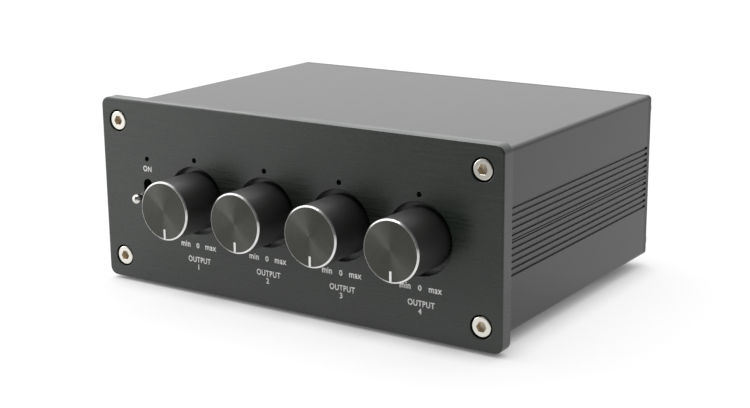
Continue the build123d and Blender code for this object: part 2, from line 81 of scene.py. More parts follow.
class Detail(Enum):
    """Octaves of finer noise in a pattern."""

    NONE = 0.0
    SOFT = 1.0
    MEDIUM = 2.0
    FINE = 3.0


class Wire:
    """One value in a node tree, on which arithmetic adds Math nodes."""

    def __init__(self, bench: "Bench", socket: bpy.types.NodeSocket) -> None:
        """Keep the tree and the socket that the value comes from."""
        self.bench = bench
        self.socket = socket

    def math(self, operation: str, *values: "Wire | float") -> "Wire":
        """Add one Math node.

        Args:
            operation: The node's operation.
            values: Its values in order.

        Returns:
            The node's result.
        """
        return self.bench.node("ShaderNodeMath", {"operation": operation}, dict(enumerate(values)))

    def __add__(self, other: "Wire | float") -> "Wire":
        """Add a value."""
        return self.math("ADD", self, other)

    def __radd__(self, other: float) -> "Wire":
        """Add to a number."""
        return self.math("ADD", other, self)

    def __sub__(self, other: "Wire | float") -> "Wire":
        """Take a value away."""
        return self.math("SUBTRACT", self, other)

    def __rsub__(self, other: float) -> "Wire":
        """Take away from a number."""
        return self.math("SUBTRACT", other, self)

    def __mul__(self, other: "Wire | float") -> "Wire":
        """Multiply by a value."""
        return self.math("MULTIPLY", self, other)

    def __rmul__(self, other: float) -> "Wire":
        """Multiply a number."""
        return self.math("MULTIPLY", other, self)

    def sine(self) -> "Wire":
        """Return the sine of the value."""
        return self.math("SINE", self)


class Bench:
    """A node tree in the making."""

    def __init__(self, tree: bpy.types.NodeTree) -> None:
        """Keep the tree that nodes are added to."""
        self.tree = tree

    def node(
        self,
        kind: str,
        settings: dict[str, object] | None = None,
        inputs: dict[str | int, object] | None = None,
        output: str | int = 0,
    ) -> Wire:
        """Add one node.

        Args:
            kind: The node's type.
            settings: Its properties, which are set first; stops sets a ramp's stops.
            inputs: The values or links of its sockets, by name or number.
            output: The socket that is returned.

        Returns:
            The chosen output.
        """
        made = self.tree.nodes.new(kind)
        for name, value in (settings or {}).items():
            if name == "stops":
                self.set_stops(made.color_ramp, value)
            else:
                setattr(made, name, value)
        for key, value in (inputs or {}).items():
            self.feed(made.inputs[key], value)
        return Wire(self, made.outputs[output])

    def feed(self, socket: bpy.types.NodeSocket, value: object) -> None:
        """Link a socket to a wire, or set its own value.

        Args:
            socket: The input socket.
            value: A wire, or the socket's new value.
        """
        if isinstance(value, Wire):
            self.tree.links.new(value.socket, socket)
        else:
            socket.default_value = value

    def set_stops(self, ramp: bpy.types.ColorRamp, stops: Sequence[Pair]) -> None:
        """Give a ramp its stops.

        Args:
            ramp: The ramp, with its two first stops.
            stops: Place and grey value of each stop.
        """
        while len(ramp.elements) < len(stops):
            ramp.elements.new(0.5)
        for element, (place, grey) in zip(ramp.elements, stops):
            element.position = place
            element.color = (grey, grey, grey, 1.0)

    def mix(self, share: Wire, first: Colour, second: Colour) -> Wire:
        """Mix two colours by a share.

        Args:
            share: The share of the second colour.
            first: The colour at 0.
            second: The colour at 1.

        Returns:
            The mixed colour.
        """
        inputs = {0: share, 6: (*first, 1.0), 7: (*second, 1.0)}
        return self.node("ShaderNodeMix", {"data_type": "RGBA"}, inputs, output=2)

    def noise(self, feature: Place, detail: Detail) -> Wire:
        """Add noise on Object coordinates.

        Args:
            feature: Size of a feature along X, Y and Z.
            detail: How fine the noise is.

        Returns:
            The noise, about NOISE_MIDDLE.
        """
        place = self.node("ShaderNodeTexCoord", output="Object")
        scale = tuple(1.0 / length for length in feature)
        fitted = {"Vector": place, "Scale": scale}
        mapped = self.node("ShaderNodeMapping", {"vector_type": "POINT"}, fitted)
        inputs = {"Vector": mapped, "Scale": 1.0, "Detail": detail.value}
        return self.node("ShaderNodeTexNoise", None, inputs)

    def travel(self) -> Wire:
        """Return the way along a turned profile, in millimetres, from the piece's own map."""
        place = self.node("ShaderNodeTexCoord", output="UV")
        return self.node("ShaderNodeSeparateXYZ", None, {"Vector": place}, output="Y")

    def bump(self, height: Wire, distance: float) -> Wire:
        """Add a Bump node.

        Args:
            height: The height, of about one unit.
            distance: The length that one unit of height stands for.

        Returns:
            The normal.
        """
        return self.node("ShaderNodeBump", None, {"Height": height, "Distance": distance})


@dataclass(frozen=True)
class Finish(ABC):
    """A surface finish, whose material is made at its first use.

    Its colour changes between two shades, as factors of the colour, and its roughness by a spread.
    """

    name: str
    colour: Colour
    roughness: float
    shades: Pair = (0.9, 1.1)
    spread: float = 0.1

    def material(self) -> bpy.types.Material:
        """Make the material of this finish, or find it.

        Returns:
            The material.
        """
        found = bpy.data.materials.get(self.name)
        if found:
            return found
        made = bpy.data.materials.new(self.name)
        made.use_nodes = True
        bench = Bench(made.node_tree)
        shader = made.node_tree.nodes["Principled BSDF"]
        for socket, value in self.sockets(bench).items():
            bench.feed(shader.inputs[socket], value)
        made.diffuse_color = (*self.colour, 1.0)
        return made

    @abstractmethod
    def sockets(self, bench: Bench) -> dict[str, object]:
        """Add the finish's nodes.

        Args:
            bench: The material's node tree.

        Returns:
            Value or wire of each socket of the shader.
        """

    def tone(self, bench: Bench, share: Wire) -> Wire:
        """Mix the finish's two shades.

        Args:
            bench: The material's node tree.
            share: The share of the lighter shade.

        Returns:
            The mixed colour.
        """
        dark, light = [tuple(part * factor for part in self.colour) for factor in self.shades]
        return bench.mix(share, dark, light)

    def gloss(self, share: Wire) -> Wire:
        """Return the roughness, which varies with a pattern."""
        return self.roughness + (share - NOISE_MIDDLE) * self.spread


@dataclass(frozen=True)
class Brushed(Finish):
    """Anodised aluminium with fine brush lines along X."""

    shades: Pair = (0.1, 1.9)
    spread: float = 0.3
    line: Place = (9 * MM, 0.4 * MM, 0.3 * MM)
    line_share: float = 0.7
    patch: Place = (30 * MM, 30 * MM, 18 * MM)
    depth: float = 0.01 * MM
    specular: float = 0.5
    density: float = 1.5
    anisotropy: float = 0.6
    quarter_turn: float = 0.25

    def sockets(self, bench: Bench) -> dict[str, object]:
        """Add lines over slow patches, with the gloss drawn out across the lines.

        Args:
            bench: The material's node tree.

        Returns:
            Value or wire of each socket of the shader.
        """
        lines = bench.noise(self.line, Detail.FINE)
        patches = bench.noise(self.patch, Detail.MEDIUM)
        mixed = self.line_share * lines + (1 - self.line_share) * patches
        return {
            "Base Color": self.tone(bench, mixed),
            "Roughness": self.gloss(lines),
            "Specular IOR Level": self.specular,
            "IOR": self.density,
            "Anisotropic": self.anisotropy,
            "Anisotropic Rotation": self.quarter_turn,
            "Normal": bench.bump(lines, self.depth),
        }


@dataclass(frozen=True)
class Satin(Finish):
    """Blasted and anodised aluminium, with the faint draw lines of an extrusion along Y."""

    shades: Pair = (0.7, 1.3)
    grain: float = 0.22 * MM
    line: Place = (0.5 * MM, 60 * MM, 0.5 * MM)
    line_share: float = 0.5
    depth: float = 0.004 * MM
    specular: float = 0.5

    def sockets(self, bench: Bench) -> dict[str, object]:
        """Add grain and draw lines that vary colour, roughness and height.

        Args:
            bench: The material's node tree.

        Returns:
            Value or wire of each socket of the shader.
        """
        grain = bench.noise((self.grain,) * 3, Detail.MEDIUM)
        lines = bench.noise(self.line, Detail.MEDIUM)
        mixed = (1 - self.line_share) * grain + self.line_share * lines
        return {
            "Base Color": self.tone(bench, mixed),
            "Roughness": self.gloss(mixed),
            "Specular IOR Level": self.specular,
            "Normal": bench.bump(mixed, self.depth),
        }


@dataclass(frozen=True)
class Turned(Finish):
    """A lathe-turned surface with tool marks across its profile; pitch is in millimetres."""

    shades: Pair = (0.8, 1.2)
    metallic: float = 0.0
    pitch: float = 0.16
    depth: float = 0.004 * MM
    lean: float = 0.0
    patch: float = 2 * MM
    specular: float = 0.5

    def sockets(self, bench: Bench) -> dict[str, object]:
        """Add tool marks, which may lean along the profile, over slow patches.

        Args:
            bench: The material's node tree.

        Returns:
            Value or wire of each socket of the shader.
        """
        travel = bench.travel()
        waves = (travel * (2 * math.pi / self.pitch)).sine()
        marks = waves - travel * (self.lean * MM / self.depth)
        patches = bench.noise((self.patch,) * 3, Detail.MEDIUM)
        return {
            "Base Color": self.tone(bench, patches),
            "Metallic": self.metallic,
            "Roughness": self.gloss(patches),
            "Specular IOR Level": self.specular,
            "Normal": bench.bump(marks, self.depth),
        }


@dataclass(frozen=True)
class Plated(Finish):
    """Plated or bare metal with a faint cloudiness."""

    shades: Pair = (0.88, 1.08)
    spread: float = 0.12
    cloud: float = 1.2 * MM

    def sockets(self, bench: Bench) -> dict[str, object]:
        """Add clouds that vary tone and roughness.

        Args:
            bench: The material's node tree.

        Returns:
            Value or wire of each socket of the shader.
        """
        clouds = bench.noise((self.cloud,) * 3, Detail.FINE)
        return {
            "Base Color": self.tone(bench, clouds),
            "Metallic": 1.0,
            "Roughness": self.gloss(clouds),
        }


@dataclass(frozen=True)
class CapScrew(Finish):
    """Nickel plate with a duller socket, brownish and darkened as painted shade in the recess; its
    end is in millimetres of the profile.
    """

    spread: float = 0.16
    # Colour in the socket: a brownish tint, darkened as painted shade in the recess.
    socket_colour: Colour = (0.86, 0.76, 0.62)
    socket_end: float = 2.6
    socket_dulling: float = 0.25
    cloud: float = 0.8 * MM

    def sockets(self, bench: Bench) -> dict[str, object]:
        """Add bright plate round the socket, and paint the socket browner and darker, as shade in
        the recess.

        Args:
            bench: The material's node tree.

        Returns:
            Value or wire of each socket of the shader.
        """
        travel = bench.travel()
        outside = travel.math("GREATER_THAN", travel, self.socket_end)
        clouds = bench.noise((self.cloud,) * 3, Detail.FINE)
        return {
            # The socket's colour is a brownish tint darkened as painted shade in the recess.
            "Base Color": bench.mix(outside, self.socket_colour, self.colour),
            "Metallic": 1.0,
            "Roughness": self.gloss(clouds) + (1 - outside) * self.socket_dulling,
        }


@dataclass(frozen=True)
class Moulded(Finish):
    """Moulded plastic, rubber or lacquer with a fine grain."""

    spread: float = 0.15
    grain: float = 0.25 * MM
    patch: float = 4 * MM
    depth: float = 0.006 * MM

    def sockets(self, bench: Bench) -> dict[str, object]:
        """Add grain over patches that vary the tone.

        Args:
            bench: The material's node tree.

        Returns:
            Value or wire of each socket of the shader.
        """
        grain = bench.noise((self.grain,) * 3, Detail.FINE)
        patches = bench.noise((self.patch,) * 3, Detail.SOFT)
        return {
            "Base Color": self.tone(bench, patches),
            "Roughness": self.gloss(grain),
            "Normal": bench.bump(grain, self.depth),
        }


@dataclass(frozen=True)
class Resin(Finish):
    """Tinted clear resin of a lamp."""

    cloud: float = 0.6 * MM
    clearness: float = 0.6
    density: float = 1.5

    def sockets(self, bench: Bench) -> dict[str, object]:
        """Add a tinted, partly clear body with slight clouds.

        Args:
            bench: The material's node tree.

        Returns:
            Value or wire of each socket of the shader.
        """
        clouds = bench.noise((self.cloud,) * 3, Detail.MEDIUM)
        return {
            "Base Color": self.tone(bench, clouds),
            "Roughness": self.gloss(clouds),
            "Transmission Weight": self.clearness,
            "IOR": self.density,
        }


@dataclass(frozen=True)
class BoardLacquer(Finish):
    """Green solder lacquer over copper tracks."""

    shades: Pair = (0.8, 1.7)
    track: Place = (2.54 * MM, 10.16 * MM, 2.54 * MM)
    track_edges: Rows = ((0.46, 0.0), (0.5, 1.0), (0.56, 1.0), (0.6, 0.0))
    depth: float = 0.02 * MM

    def sockets(self, bench: Bench) -> dict[str, object]:
        """Add tracks, as lighter, raised lines under the lacquer.

        Args:
            bench: The material's node tree.

        Returns:
            Value or wire of each socket of the shader.
        """
        patches = bench.noise(self.track, Detail.NONE)
        stops = {"stops": self.track_edges}
        tracks = bench.node("ShaderNodeValToRGB", stops, {"Fac": patches})
        return {
            "Base Color": self.tone(bench, tracks),
            "Roughness": self.roughness + self.spread * patches,
            "Normal": bench.bump(tracks, self.depth),
        }


PANEL_BLACK = Brushed("brushed_panel", (0.0135, 0.019, 0.0142), 0.3, specular=0.8)
CASE_BLACK = Satin("satin_case", (0.02, 0.021, 0.021), 0.34, specular=0.63)
REAR_BLACK = Satin("satin_rear", (0.022, 0.0225, 0.023), 0.42)
KNOB_SIDE = Turned("knob_side", (0.028, 0.0285, 0.027), 0.42, depth=0.006 * MM, specular=1.0)
KNOB_FACE = Turned(
    "knob_face", (0.037, 0.037, 0.028), 0.22, pitch=0.2, depth=0.014 * MM, lean=0.02, specular=0.52
)
KNOB_EDGE = Turned("knob_cut_edge", (0.96, 0.96, 0.95), 0.16, metallic=1.0, depth=0.002 * MM)
WHITE_PRINT = Moulded("white_print", (0.90, 0.90, 0.89), 0.5, grain=0.1 * MM, depth=0.001 * MM)
CAP_NICKEL = CapScrew("cap_screw_nickel", (0.92, 0.89, 0.82), 0.2)
SCREW_NICKEL = Plated("screw_nickel", (0.70, 0.67, 0.61), 0.22)
SOCKET_NICKEL = Plated("socket_nickel", (0.66, 0.645, 0.61), 0.24)
LEVER_CHROME = Plated("lever_chrome_plate", (0.90, 0.88, 0.84), 0.08, spread=0.05)
DARK_STEEL = Plated("blackened_steel", (0.10, 0.10, 0.10), 0.4)
SPRING_BRONZE = Plated("bronze_strip", (0.72, 0.46, 0.22), 0.3)
FOOT_RUBBER = Moulded(
    "foot_black_rubber", (0.018, 0.018, 0.018), 0.8, grain=0.4 * MM, depth=0.02 * MM
)
MOULDED_BLACK = Moulded("black_moulding", (0.022, 0.022, 0.023), 0.45)
INSULATOR_WHITE = Moulded("white_insulator", (0.78, 0.77, 0.73), 0.35)
INSULATOR_RED = Moulded("red_insulator", (0.55, 0.03, 0.025), 0.35)
CAN_SLEEVE = Moulded("can_blue_sleeve", (0.02, 0.03, 0.09), 0.3)
SINK_BLACK = Satin("sink_anodised", (0.02, 0.02, 0.02), 0.5)
FILM_CASE = Moulded("film_red_case", (0.42, 0.05, 0.03), 0.35)
LAMP_RESIN = Resin("lamp_smoke_resin", (0.08, 0.09, 0.10), 0.15)
BOARD_GREEN = BoardLacquer("board_lacquer", (0.008, 0.055, 0.022), 0.35)

NODE_FINISHES: dict[str, Finish] = {
    "screw_steel": SCREW_NICKEL,
    "dark_steel": DARK_STEEL,
    "plated_metal": SOCKET_NICKEL,
    "spring_bronze": SPRING_BRONZE,
    "moulded_black": MOULDED_BLACK,
    "lamp_resin": LAMP_RESIN,
    "board_green": BOARD_GREEN,
    "insulator_white": INSULATOR_WHITE,
    "insulator_red": INSULATOR_RED,
    "can_sleeve": CAN_SLEEVE,
    "sink_black": SINK_BLACK,
    "film_case": FILM_CASE,
}


@dataclass(frozen=True)
class Corner:
    """A corner of an outline, with the radius that rounds it."""

    u: float
    v: float
    radius: float = 0.0

    def place(self) -> Vector:
        """Return the corner as a point."""
        return Vector((self.u, self.v))

    def mirrored(self) -> "Corner":
        """Return the corner on the other side."""
        return Corner(-self.u, self.v, self.radius)


def corner_arc(corner: Corner, back: Vector, ahead: Vector) -> list[Vector]:
    """Round one corner.

    Args:
        corner: The corner.
        back: The way to the corner before it.
        ahead: The way to the next corner.

    Returns:
        The arc's points, with one close to each end that holds the shading of the flats.
    """
    here = corner.place()
    back = back.normalized()
    ahead = ahead.normalized()
    half = back.angle(ahead) / 2
    reach = corner.radius / math.tan(half)
    centre = here + (back + ahead).normalized() * corner.radius / math.sin(half)
    first = here + back * reach - centre
    last = here + ahead * reach - centre
    start = math.atan2(first.y, first.x)
    sweep = math.atan2(first.x * last.y - first.y * last.x, first.dot(last))
    angles = [start + sweep * step / ARC_STEPS for step in range(ARC_STEPS + 1)]
    arc = [centre + corner.radius * Vector((math.cos(a), math.sin(a))) for a in angles]
    hold = HOLD_SHARE * corner.radius
    return [here + back * (reach + hold), *arc, here + ahead * (reach + hold)]


def rounded(corners: Sequence[Corner], closed: bool = False) -> list[Vector]:
    """Draw an outline with its corners rounded.

    Args:
        corners: The corners in order.
        closed: Whether the last corner joins the first.

    Returns:
        The outline's points.
    """
    points = []
    for index, corner in enumerate(corners):
        ends = not closed and index in (0, len(corners) - 1)
        if ends or corner.radius == 0:
            points.append(corner.place())
            continue
        back = corners[index - 1].place() - corner.place()
        ahead = corners[(index + 1) % len(corners)].place() - corner.place()
        points += corner_arc(corner, back, ahead)
    return points


class Section(Enum):
    """Shape of a ring about an axis."""

    ROUND = "round"
    HEXAGON = "hexagon"

    def reach(self, angle: float) -> float:
        """Measure a ring of unit size.

        Args:
            angle: Angle about the axis.

        Returns:
            How far the ring lies from the axis at that angle.
        """
        if self is Section.ROUND:
            return 1.0
        side = math.radians(60)
        return 1 / math.cos(angle % side - side / 2)


@dataclass(frozen=True)
class Ring:
    """A ring about the Y axis: its radius, or half its width across flats, and its depth."""

    radius: float
    depth: float
    section: Section = Section.ROUND


def rings_of(corners: Sequence[Corner], closed: bool = False) -> list[Ring]:
    """Turn an outline of radius and depth into rings.

    Args:
        corners: Radius and depth of each corner.
        closed: Whether the outline is a loop clear of the axis.

    Returns:
        The rings, with the first repeated at the end of a loop.
    """
    rings = [Ring(point.x, point.y) for point in rounded(corners, closed)]
    return [*rings, rings[0]] if closed else rings


def turned(rings: Sequence[Ring], segments: int) -> bmesh.types.BMesh:
    """Skin rings about the Y axis, with a map of turns across and millimetres along the profile.

    Args:
        rings: The rings in order, from axis to axis or as a loop.
        segments: Points round each ring.

    Returns:
        The closed mesh.
    """
    mesh = bmesh.new()
    layer = mesh.loops.layers.uv.new("turned")
    angles = [2 * math.pi * index / segments for index in range(segments)]
    rows = []
    travel = [0.0]
    for ring in rings:
        row = []
        for angle in angles:
            reach = ring.radius * ring.section.reach(angle)
            place = (reach * math.cos(angle), ring.depth, reach * math.sin(angle))
            row.append(mesh.verts.new(place))
        rows.append(row)
    for one, two in pairwise(rings):
        stretch = math.hypot(two.radius - one.radius, two.depth - one.depth)
        travel.append(travel[-1] + stretch / MM)
    for step, (lower, upper) in enumerate(pairwise(rows)):
        for index in range(segments):
            after = (index + 1) % segments
            face = mesh.faces.new((lower[index], lower[after], upper[after], upper[index]))
            turns = (index, index + 1, index + 1, index)
            steps = (step, step, step + 1, step + 1)
            for loop, turn, along in zip(face.loops, turns, steps):
                loop[layer].uv = (turn / segments, travel[along])
    return mesh


@dataclass(frozen=True)
class Contour:
    """A rounded rectangle seen from the front, or a circle or slot where sides have no length."""

    x: float
    z: float
    half_width: float
    half_height: float
    radius: float
    steps: int = 12

    def ring(self, grow: float) -> list[Vector]:
        """Draw the contour.

        Args:
            grow: Length by which it moves outwards.

        Returns:
            The contour's points.
        """
        flat_x = self.half_width - self.radius
        flat_z = self.half_height - self.radius
        reach = self.radius + grow
        points: list[Vector] = []
        quarters = ((1, 1), (-1, 1), (-1, -1), (1, -1))
        for quarter, (side_x, side_z) in enumerate(quarters):
            middle = Vector((self.x + side_x * flat_x, self.z + side_z * flat_z))
            for step in range(self.steps + 1):
                angle = math.pi / 2 * (quarter + step / self.steps)
                point = middle + reach * Vector((math.cos(angle), math.sin(angle)))
                ends = (*points[:1], *points[-1:])
                if all((point - end).length > MERGE_DISTANCE for end in ends):
                    points.append(point)
        return points


@dataclass(frozen=True)
class Outline:
    """A fixed outline seen from the front."""

    points: tuple[Vector, ...]

    def ring(self, grow: float) -> list[Vector]:
        """Return the outline's points, which don't move."""
        return list(self.points)


def circle(x: float, z: float, radius: float, steps: int = 12) -> Contour:
    """Return a round contour, with the given steps in each quarter."""
    return Contour(x, z, radius, radius, radius, steps)


@dataclass(frozen=True)
class Edge:
    """One edge of a plate: its contour, and (outward move, depth) of its section to the back."""

    contour: Contour | Outline
    section: Rows


def plate(edges: Sequence[Edge]) -> bmesh.types.BMesh:
    """Make a plate that stands across Y.

    Args:
        edges: The outside edge first, and then the edge of each hole.

    Returns:
        The closed mesh.
    """
    mesh = bmesh.new()
    mesh.loops.layers.uv.new("turned")
    fronts = []
    backs = []
    for edge in edges:
        rows = []
        for grow, depth in edge.section:
            rows.append([mesh.verts.new((p.x, depth, p.y)) for p in edge.contour.ring(grow)])
        for near, far in pairwise(rows):
            for index, vert in enumerate(near):
                after = (index + 1) % len(near)
                mesh.faces.new((vert, near[after], far[after], far[index]))
        fronts.append(rows[0])
        backs.append(rows[-1])
    for rims in (fronts, backs):
        verts = [vert for rim in rims for vert in rim]
        flat = [[Vector((vert.co.x, vert.co.z, 0)) for vert in rim] for rim in rims]
        for corners in tessellate_polygon(flat):
            mesh.faces.new([verts[corner] for corner in corners])
    return mesh


def section_of(corners: Sequence[Corner]) -> Rows:
    """Return the outward move and the depth of each ring of a plate's edge."""
    return tuple((point.x, point.y) for point in rounded(corners))


def eased(faces: Pair, front_radius: float, back_radius: float, hole: bool) -> Rows:
    """Draw the section of a plate's edge with both its corners rounded.

    Args:
        faces: Depth of the front face and of the back face.
        front_radius: Radius at the front.
        back_radius: Radius at the back.
        hole: Whether the edge is a hole's.

    Returns:
        Outward move and depth of each ring.
    """
    front, back = faces
    side = 1 if hole else -1
    return section_of([
        Corner(side * 2 * front_radius, front),
        Corner(0, front, front_radius),
        Corner(0, back, back_radius),
        Corner(side * 2 * back_radius, back),
    ])


def new_piece(
    name: str,
    mesh: bmesh.types.BMesh,
    finish: Finish,
    place: Matrix | None = None,
) -> bpy.types.Object:
    """Make an object at the origin, with its place in its mesh.

    Args:
        name: The piece's name.
        mesh: The mesh in the making, which is freed.
        finish: The surface finish.
        place: A move of the mesh to its place.

    Returns:
        The piece.
    """
    bmesh.ops.remove_doubles(mesh, verts=mesh.verts, dist=MERGE_DISTANCE)
    bmesh.ops.recalc_face_normals(mesh, faces=mesh.faces)
    data = bpy.data.meshes.new(name)
    mesh.to_mesh(data)
    mesh.free()
    if place:
        data.transform(place)
    data.shade_smooth()
    data.set_sharp_from_angle(angle=SMOOTH_LIMIT)
    data.materials.append(finish.material())
    piece = bpy.data.objects.new(name, data)
    bpy.context.scene.collection.objects.link(piece)
    return piece


def settle(piece: bpy.types.Object, body: str, slot: str, *nodes: str) -> None:
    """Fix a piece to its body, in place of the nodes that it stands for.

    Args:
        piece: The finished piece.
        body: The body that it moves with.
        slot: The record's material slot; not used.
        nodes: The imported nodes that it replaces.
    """
    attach(piece, body)
    if nodes:
        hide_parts(*nodes)
    LOG.info("%s: %d faces, on %s", piece.name, len(piece.data.polygons), body)


def flattened(piece: bpy.types.Object) -> None:
    """Turn a piece with its modifiers into a plain mesh.

    Args:
        piece: The piece.
    """
    bpy.context.view_layer.update()
    graph = bpy.context.evaluated_depsgraph_get()
    mesh = bpy.data.meshes.new_from_object(piece.evaluated_get(graph))
    piece.modifiers.clear()
    piece.data = mesh


def middle_of(node: str) -> Vector:
    """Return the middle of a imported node."""
    low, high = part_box(node)
    return (low + high) / 2


@dataclass(frozen=True)
class PartGrid:
    """Copies of one part in columns and rows, made by Geometry Nodes."""

    corner: Vector
    column_step: Vector
    row_step: Vector
    columns: int = 2
    rows: int = 2

    TREE_NAME = "rows_of_parts"

    def tree(self) -> bpy.types.NodeTree:
        """Make the tree that copies its input to a grid of places, or find it.

        Returns:
            The Geometry Nodes tree.
        """
        found = bpy.data.node_groups.get(self.TREE_NAME)
        if found:
            return found
        tree = bpy.data.node_groups.new(self.TREE_NAME, "GeometryNodeTree")
        sockets = {
            "Part": "NodeSocketGeometry",
            "Columns": "NodeSocketInt",
            "Rows": "NodeSocketInt",
            "Corner": "NodeSocketVector",
            "Column Step": "NodeSocketVector",
            "Row Step": "NodeSocketVector",
            "Finish": "NodeSocketMaterial",
        }
        for name, kind in sockets.items():
            tree.interface.new_socket(name, in_out="INPUT", socket_type=kind)
        tree.interface.new_socket("Parts", in_out="OUTPUT", socket_type="NodeSocketGeometry")
        bench = Bench(tree)
        given = tree.nodes.new("NodeGroupInput")
        wires = {name: Wire(bench, given.outputs[name]) for name in sockets}
        row = {"Count": wires["Columns"], "Offset": wires["Column Step"]}
        row["Start Location"] = wires["Corner"]
        across = bench.node("GeometryNodeMeshLine", {"mode": "OFFSET"}, row)
        column = {"Count": wires["Rows"], "Offset": wires["Row Step"]}
        along = bench.node("GeometryNodeMeshLine", {"mode": "OFFSET"}, column)
        lines = {"Points": across, "Instance": along}
        grid = bench.node("GeometryNodeInstanceOnPoints", None, lines)
        places = bench.node("GeometryNodeRealizeInstances", None, {"Geometry": grid})
        copies = {"Points": places, "Instance": wires["Part"]}
        parts = bench.node("GeometryNodeInstanceOnPoints", None, copies)
        solid = bench.node("GeometryNodeRealizeInstances", None, {"Geometry": parts})
        dressed = {"Geometry": solid, "Material": wires["Finish"]}
        result = bench.node("GeometryNodeSetMaterial", None, dressed)
        tree.links.new(result.socket, tree.nodes.new("NodeGroupOutput").inputs["Parts"])
        return tree

    def spread(self, part: bpy.types.Object, finish: Finish) -> bpy.types.Object:
        """Copy a part to every place of the grid.

        Args:
            part: The piece, whose mesh is one part.
            finish: The finish of all the parts.

        Returns:
            The piece, whose mesh is now all the parts.
        """
        tree = self.tree()
        modifier = part.modifiers.new("grid", "NODES")
        modifier.node_group = tree
        values = {
            "Columns": self.columns,
            "Rows": self.rows,
            "Corner": self.corner,
            "Column Step": self.column_step,
            "Row Step": self.row_step,
            "Finish": finish.material(),
        }
        for item in tree.interface.items_tree:
            if item.name in values:
                modifier[item.identifier] = values[item.name]
        flattened(part)
        return part


@dataclass(frozen=True)
class Legend:
    """A printed word: its text, its middle across and up the panel, and its size."""

    text: str
    x: float
    z: float
    height: float
    width: float = 0.0
    bold: float = 0.02
    spacing: float = 1.1
    half_thickness: float = 0.5
    curve_steps: int = 5

    def mesh(self) -> bpy.types.Mesh:
        """Set the word about its middle, as large as it is printed.

        Returns:
            The word, one unit thick.
        """
        curve = bpy.data.curves.new("legend", "FONT")
        curve.body = self.text
        curve.offset = self.bold
        curve.space_character = self.spacing
        curve.extrude = self.half_thickness
        curve.resolution_u = self.curve_steps
        holder = bpy.data.objects.new("legend", curve)
        bpy.context.scene.collection.objects.link(holder)
        graph = bpy.context.evaluated_depsgraph_get()
        mesh = bpy.data.meshes.new_from_object(holder.evaluated_get(graph))
        bpy.data.objects.remove(holder)
        bpy.data.curves.remove(curve)
        low = Vector(map(min, *(vert.co for vert in mesh.vertices)))
        high = Vector(map(max, *(vert.co for vert in mesh.vertices)))
        size = high - low
        up = self.height / size.y
        across = self.width / size.x if self.width else up
        mesh.transform(Matrix.Translation(-(low + high) / 2))
        mesh.transform(Matrix.Diagonal((across, up, 1.0, 1.0)))
        return mesh


def printed(legends: Sequence[Legend], depth: float, facing_back: bool) -> bmesh.types.BMesh:
    """Lay words on an upright face, half sunk in it.

    Args:
        legends: The words.
        depth: Depth of the face.
        facing_back: Whether the face looks to the back.

    Returns:
        The words as one mesh.
    """
    joined = bmesh.new()
    about = Matrix.Rotation(math.pi if facing_back else 0.0, 4, "Z")
    turn = about @ Matrix.Rotation(math.pi / 2, 4, "X")
    for legend in legends:
        mesh = legend.mesh()
        mesh.transform(Matrix.Diagonal((1.0, 1.0, PRINT_THICKNESS, 1.0)))
        mesh.transform(Matrix.Translation((legend.x, depth, legend.z)) @ turn)
        joined.from_mesh(mesh)
        bpy.data.meshes.remove(mesh)
    return joined


